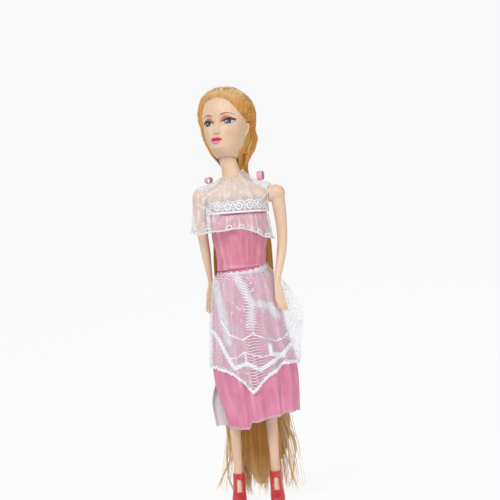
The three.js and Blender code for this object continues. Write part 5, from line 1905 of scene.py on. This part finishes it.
def scalpPuff(level, turn):
    # how far the cap stands off the head: fuller behind the left ear, under the skin at the face
    edge = along(hairlines["left" if turn > 0 else "right"], max(level, 8))[0]
    degrees = math.degrees(turn)
    fuller = 4.8 * hump(level, 5, 12) * (between(95, 135, degrees) - between(150, 180, degrees))
    depth = 4.6 - 2 * between(32, 45.5, level) + fuller
    combed = 0.18 * math.sin(turn * 42 + level * 0.35)
    return -0.8 + (depth + 0.8) * between(edge - 4, edge + 22, abs(degrees)) + combed


def onScalp(level, turn, puff=0):
    return headFrame @ headPoint(level, turn, puff, False)


def makeCap():
    cap = addBall("hair_cap_form", segments=200, ring_count=110, radius=1)
    low = 0.04
    for vertex in cap.data.vertices:
        climb, turn = ballPlace(vertex.co)
        level = 0.5 + 45 * max(climb, low)
        edge = headPoint(level, turn, scalpPuff(level, turn), False)
        vertex.co = edge if climb >= low else edge.lerp(Vector((0, 2.5, 2)), 1 - climb / low)
    cap.data.transform(headFrame)
    tintCore(cap, 0.35)
    return settle(cap, blondHair, "head", "blond_hair", ["hair_cap"], 70)


def hairlineLevel(turn):
    # the level of the hairline at a turn from the face, in degrees
    stations = hairlines["left" if turn > 0 else "right"]
    level = 8.0
    while level < 45.4 and along(stations, level)[0] > abs(turn):
        level += 0.1
    return level


def makeScalpStrands(head, cap):
    values = hairValues
    rng = random.Random(values["seed"])
    surfaces = [BVHTree.FromObject(piece, bpy.context.evaluated_depsgraph_get()) for piece in (head, cap)]
    centre = headFrame @ Vector((0, 0, 20))

    def onHair(direction, lift):
        reach = 0
        for surface in surfaces:
            hit = surface.ray_cast(centre + direction * 0.06, -direction)[0]
            if hit:
                reach = max(reach, (hit - centre).length)
        return centre + direction * (reach + lift * mm)

    strands = []
    for i in range(values["scalpStrands"]):
        turn = rng.uniform(-176, 176)
        low = 116 if turn > 0 else 92
        level = hairlineLevel(turn) if abs(turn) < low else rng.uniform(5, 12)
        root = onScalp(level - 0.4, math.radians(turn))
        nape = math.radians(186 - (180 - abs(turn)) * math.copysign(0.07, turn) + rng.uniform(-20, 20))
        end = onScalp(rng.uniform(2, 7), nape, 3)
        first, last = (root - centre).normalized(), (end - centre).normalized()
        back = between(0, 100, abs(turn))
        over = math.radians(math.copysign(175 - 50 * back, turn))
        middle = (onScalp(45 - 18 * back, over) - centre).normalized()
        if abs(turn) >= low:
            middle = (first + last).normalized()
        start = rng.choice((0, 0, 0.15, 0.3)) + rng.uniform(0, 0.1)
        lift = rng.uniform(-0.1, 0.28)
        sway = Vector((rng.uniform(-1, 1), rng.uniform(-1, 1), rng.uniform(-1, 1))) * 0.035
        places = []
        for k in range(values["scalpSteps"] + 1):
            share = start + (1 - start) * k / values["scalpSteps"]
            direction = (1 - share) ** 2 * first + 2 * share * (1 - share) * middle + share ** 2 * last
            direction = direction.normalized() + sway * math.sin(math.pi * share)
            rise = lift * between(start, start + 0.15, share) - 0.3 * between(start + 0.06, start, share)
            places.append(onHair(direction.normalized(), rise))
        strands.append((places, rng.uniform(*values["scalpRadius"]), rng.random(), range(len(places))))
    settle(strandMesh("hair_cap_strands", strands), blondHair, "head", "blond_hair", ["hair_cap"], 70)


def makeFall():
    values = hairValues
    rng = random.Random(values["seed"] + 1)
    stations = []
    for i in range(values["coreSteps"] + 1):
        height = partWay(values["coreTop"], values["coreBottom"], i / values["coreSteps"])
        x, y, wide, deep = along(fallTable, height)
        thin = 1 - 0.5 * between(60, 12, height)
        wide = (wide - 0.8) * thin * (1 - 0.8 * between(34, 11, height))
        stations.append((at(x, y, height), Vector((0, 0, 1)), wide, deep * 0.75 * thin))
    core = sweep("hair_fall_core", stations, sides=48)
    for vertex in core.data.vertices:
        place = offBody(vertex.co)
        vertex.co.y += 0.22 * mm * math.sin(place.x * 2.6 + 1.5 * math.sin(place.z * 0.05))
    parts = {"top": [core], "left": [core.copy()], "right": [core.copy()]}
    for part, (piece,) in parts.items():
        if part != "top":
            piece.data = core.data.copy()
            bpy.context.collection.objects.link(piece)
    for part, (piece,) in parts.items():
        piece.name = piece.data.name = "hair_fall_core_" + part
        bisectKeep(piece, at(0, 0, values["split"]), (0, 0, -1 if part == "top" else 1))
        if part != "top":
            bisectKeep(piece, at(0, 0, 100), (-1 if part == "left" else 1, 0, 0))
        tintCore(piece, 0.85)

    strands = []
    for _ in range(values["fallClumps"]):
        across = rng.uniform(-1, 1)
        depth = rng.choice((-1, 1)) * math.sqrt(max(1 - across * across, 0)) * rng.uniform(0.6, 1.1)
        free = 1 if rng.random() < values["loosened"] else 0.45
        bend = rng.uniform(-1, 1)
        phase = rng.uniform(0, 6.28)
        low = rng.uniform(2.5, 14) if rng.random() < 0.8 else rng.uniform(20, 60)
        for _ in range(values["perClump"]):
            a = across + rng.gauss(0, 0.10)
            b = depth + rng.gauss(0, 0.2)
            tip = low + rng.uniform(-1.5, 9)
            own = rng.uniform(-1, 1)
            wave = rng.uniform(0, 6.28)
            places = []
            for k in range(values["fallSteps"] + 1):
                height = partWay(values["top"], tip, k / values["fallSteps"])
                x, y, wide, deep = along(fallTable, height)
                loose = between(120, 12, height)
                gather = 0.55 * between(150, 40, height) - 0.5 * loose * abs(own)
                side = max(min(partWay(a, across, gather), 1.02), -1.02)
                back = partWay(b, depth, gather)
                x += wide * side * (1 - (1 - free) * loose)
                drift = 2.4 * bend * math.sin(height * 0.025 + phase)
                x += loose * (drift + 0.7 * own * math.sin(height * 0.05 + wave))
                y += deep * 0.92 * back + loose * (0.9 * own + 0.6 * math.cos(height * 0.03 + phase))
                place = at(x, y, height)
                place.z = max(place.z, 0.8 * mm)
                places.append(place)
            strands.append([places, rng.uniform(*values["fallRadius"]), rng.uniform(0.45, 1)])
    for lock in values["locks"]:
        for _ in range(values["perLock"]):
            a, b = rng.gauss(0, 0.9), rng.gauss(0, 0.7)
            low = lock[0][0] + abs(rng.gauss(0, 3))
            places = []
            for k in range(values["fallSteps"] + 1):
                height = partWay(lock[-1][0], low, k / values["fallSteps"])
                x, y = along(lock, height)
                curl = 1.2 * math.sin(height * 0.16 + a) * between(60, 20, height)
                places.append(at(x + curl + a * (0.4 + 0.6 * between(10, 60, height)), y + b, height))
            strands.append([places, rng.uniform(*values["lockRadius"]), rng.uniform(0.4, 1)])
    # some run from the cap over its lower edge into the fall
    for _ in range(values["bridge"]):
        turn = math.radians(rng.uniform(100, 262))
        level = rng.uniform(8, 17)
        stations = []
        for step, own in enumerate((level, 4)):
            puff = scalpPuff(own, math.atan2(math.sin(turn), math.cos(turn))) + 0.35
            stations.append((step, *offBody(onScalp(own, turn, puff))))
        for step, height in ((2, 236), (3, 222), (4, rng.uniform(195, 210))):
            x, y, wide, deep = along(fallTable, height)
            side = max(min((stations[1][1] - x) / (wide + 3), 0.97), -0.97)
            facing = math.copysign(math.sqrt(1 - side * side), stations[1][2] - y)
            stations.append((step, x + (wide + 0.2) * side, y + (deep + 0.3) * facing, height))
        places = [at(*along(stations, 4 * k / values["fallSteps"])) for k in range(values["fallSteps"] + 1)]
        strands.append([places, rng.uniform(*values["bridgeRadius"]), rng.uniform(0.3, 0.9)])

    # above the split the hair follows the head, below it the legs can push it back
    sortedStrands = {part: [] for part in parts}
    for places, radius, tint in strands:
        cut = sum(1 for place in places if place.z > values["split"] * mm)
        if cut > 1:
            sortedStrands["top"].append((places, radius, tint, range(cut)))
        part = "left" if places[-1].x > bodyX else "right"
        sortedStrands[part].append((places, radius, tint, range(max(cut - 1, 0), len(places))))
    for part, pieces in parts.items():
        pieces.append(strandMesh("hair_fall_strands_" + part, sortedStrands[part]))
        for piece in pieces:
            settle(piece, blondHair, None, "blond_hair", ["hair_fall"], 70)
            if part == "top":
                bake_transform(piece, "head", "torso", at(0, 0, 242), at(0, 0, 205))
            else:
                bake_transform(piece, "torso", part + "_leg", at(0, 0, 160), at(0, 0, 60))
                weightBy(piece, hairShare(1 if part == "left" else -1))


def hairShare(side):
    # hair near the legs follows them most
    def share(place):
        follow = hairValues["follow"] + (1 - hairValues["follow"]) * between(22, 12, place.y)
        return follow * legShare(side)(Vector((place.x, 0, place.z)))
    return share


makeScalpStrands(headObject, makeCap())
makeFall()
print("stage: hair")

sheets = [
    (bodice, bodiceValues["flat"], "stretched", ["torso_front_shell"], (*strips, trim, trimCords)),
    (yoke, yokeValues["flat"], "draped", ["torso_front_shell"], (*ribbons, yokeCords)),
    (ruffle, ruffleValues["flat"], "gathered", ["sheer_yoke_cloth"], (edge,)),
]
for piece, flat, held, under, extra in sheets:
    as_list(under)
    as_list(extra)
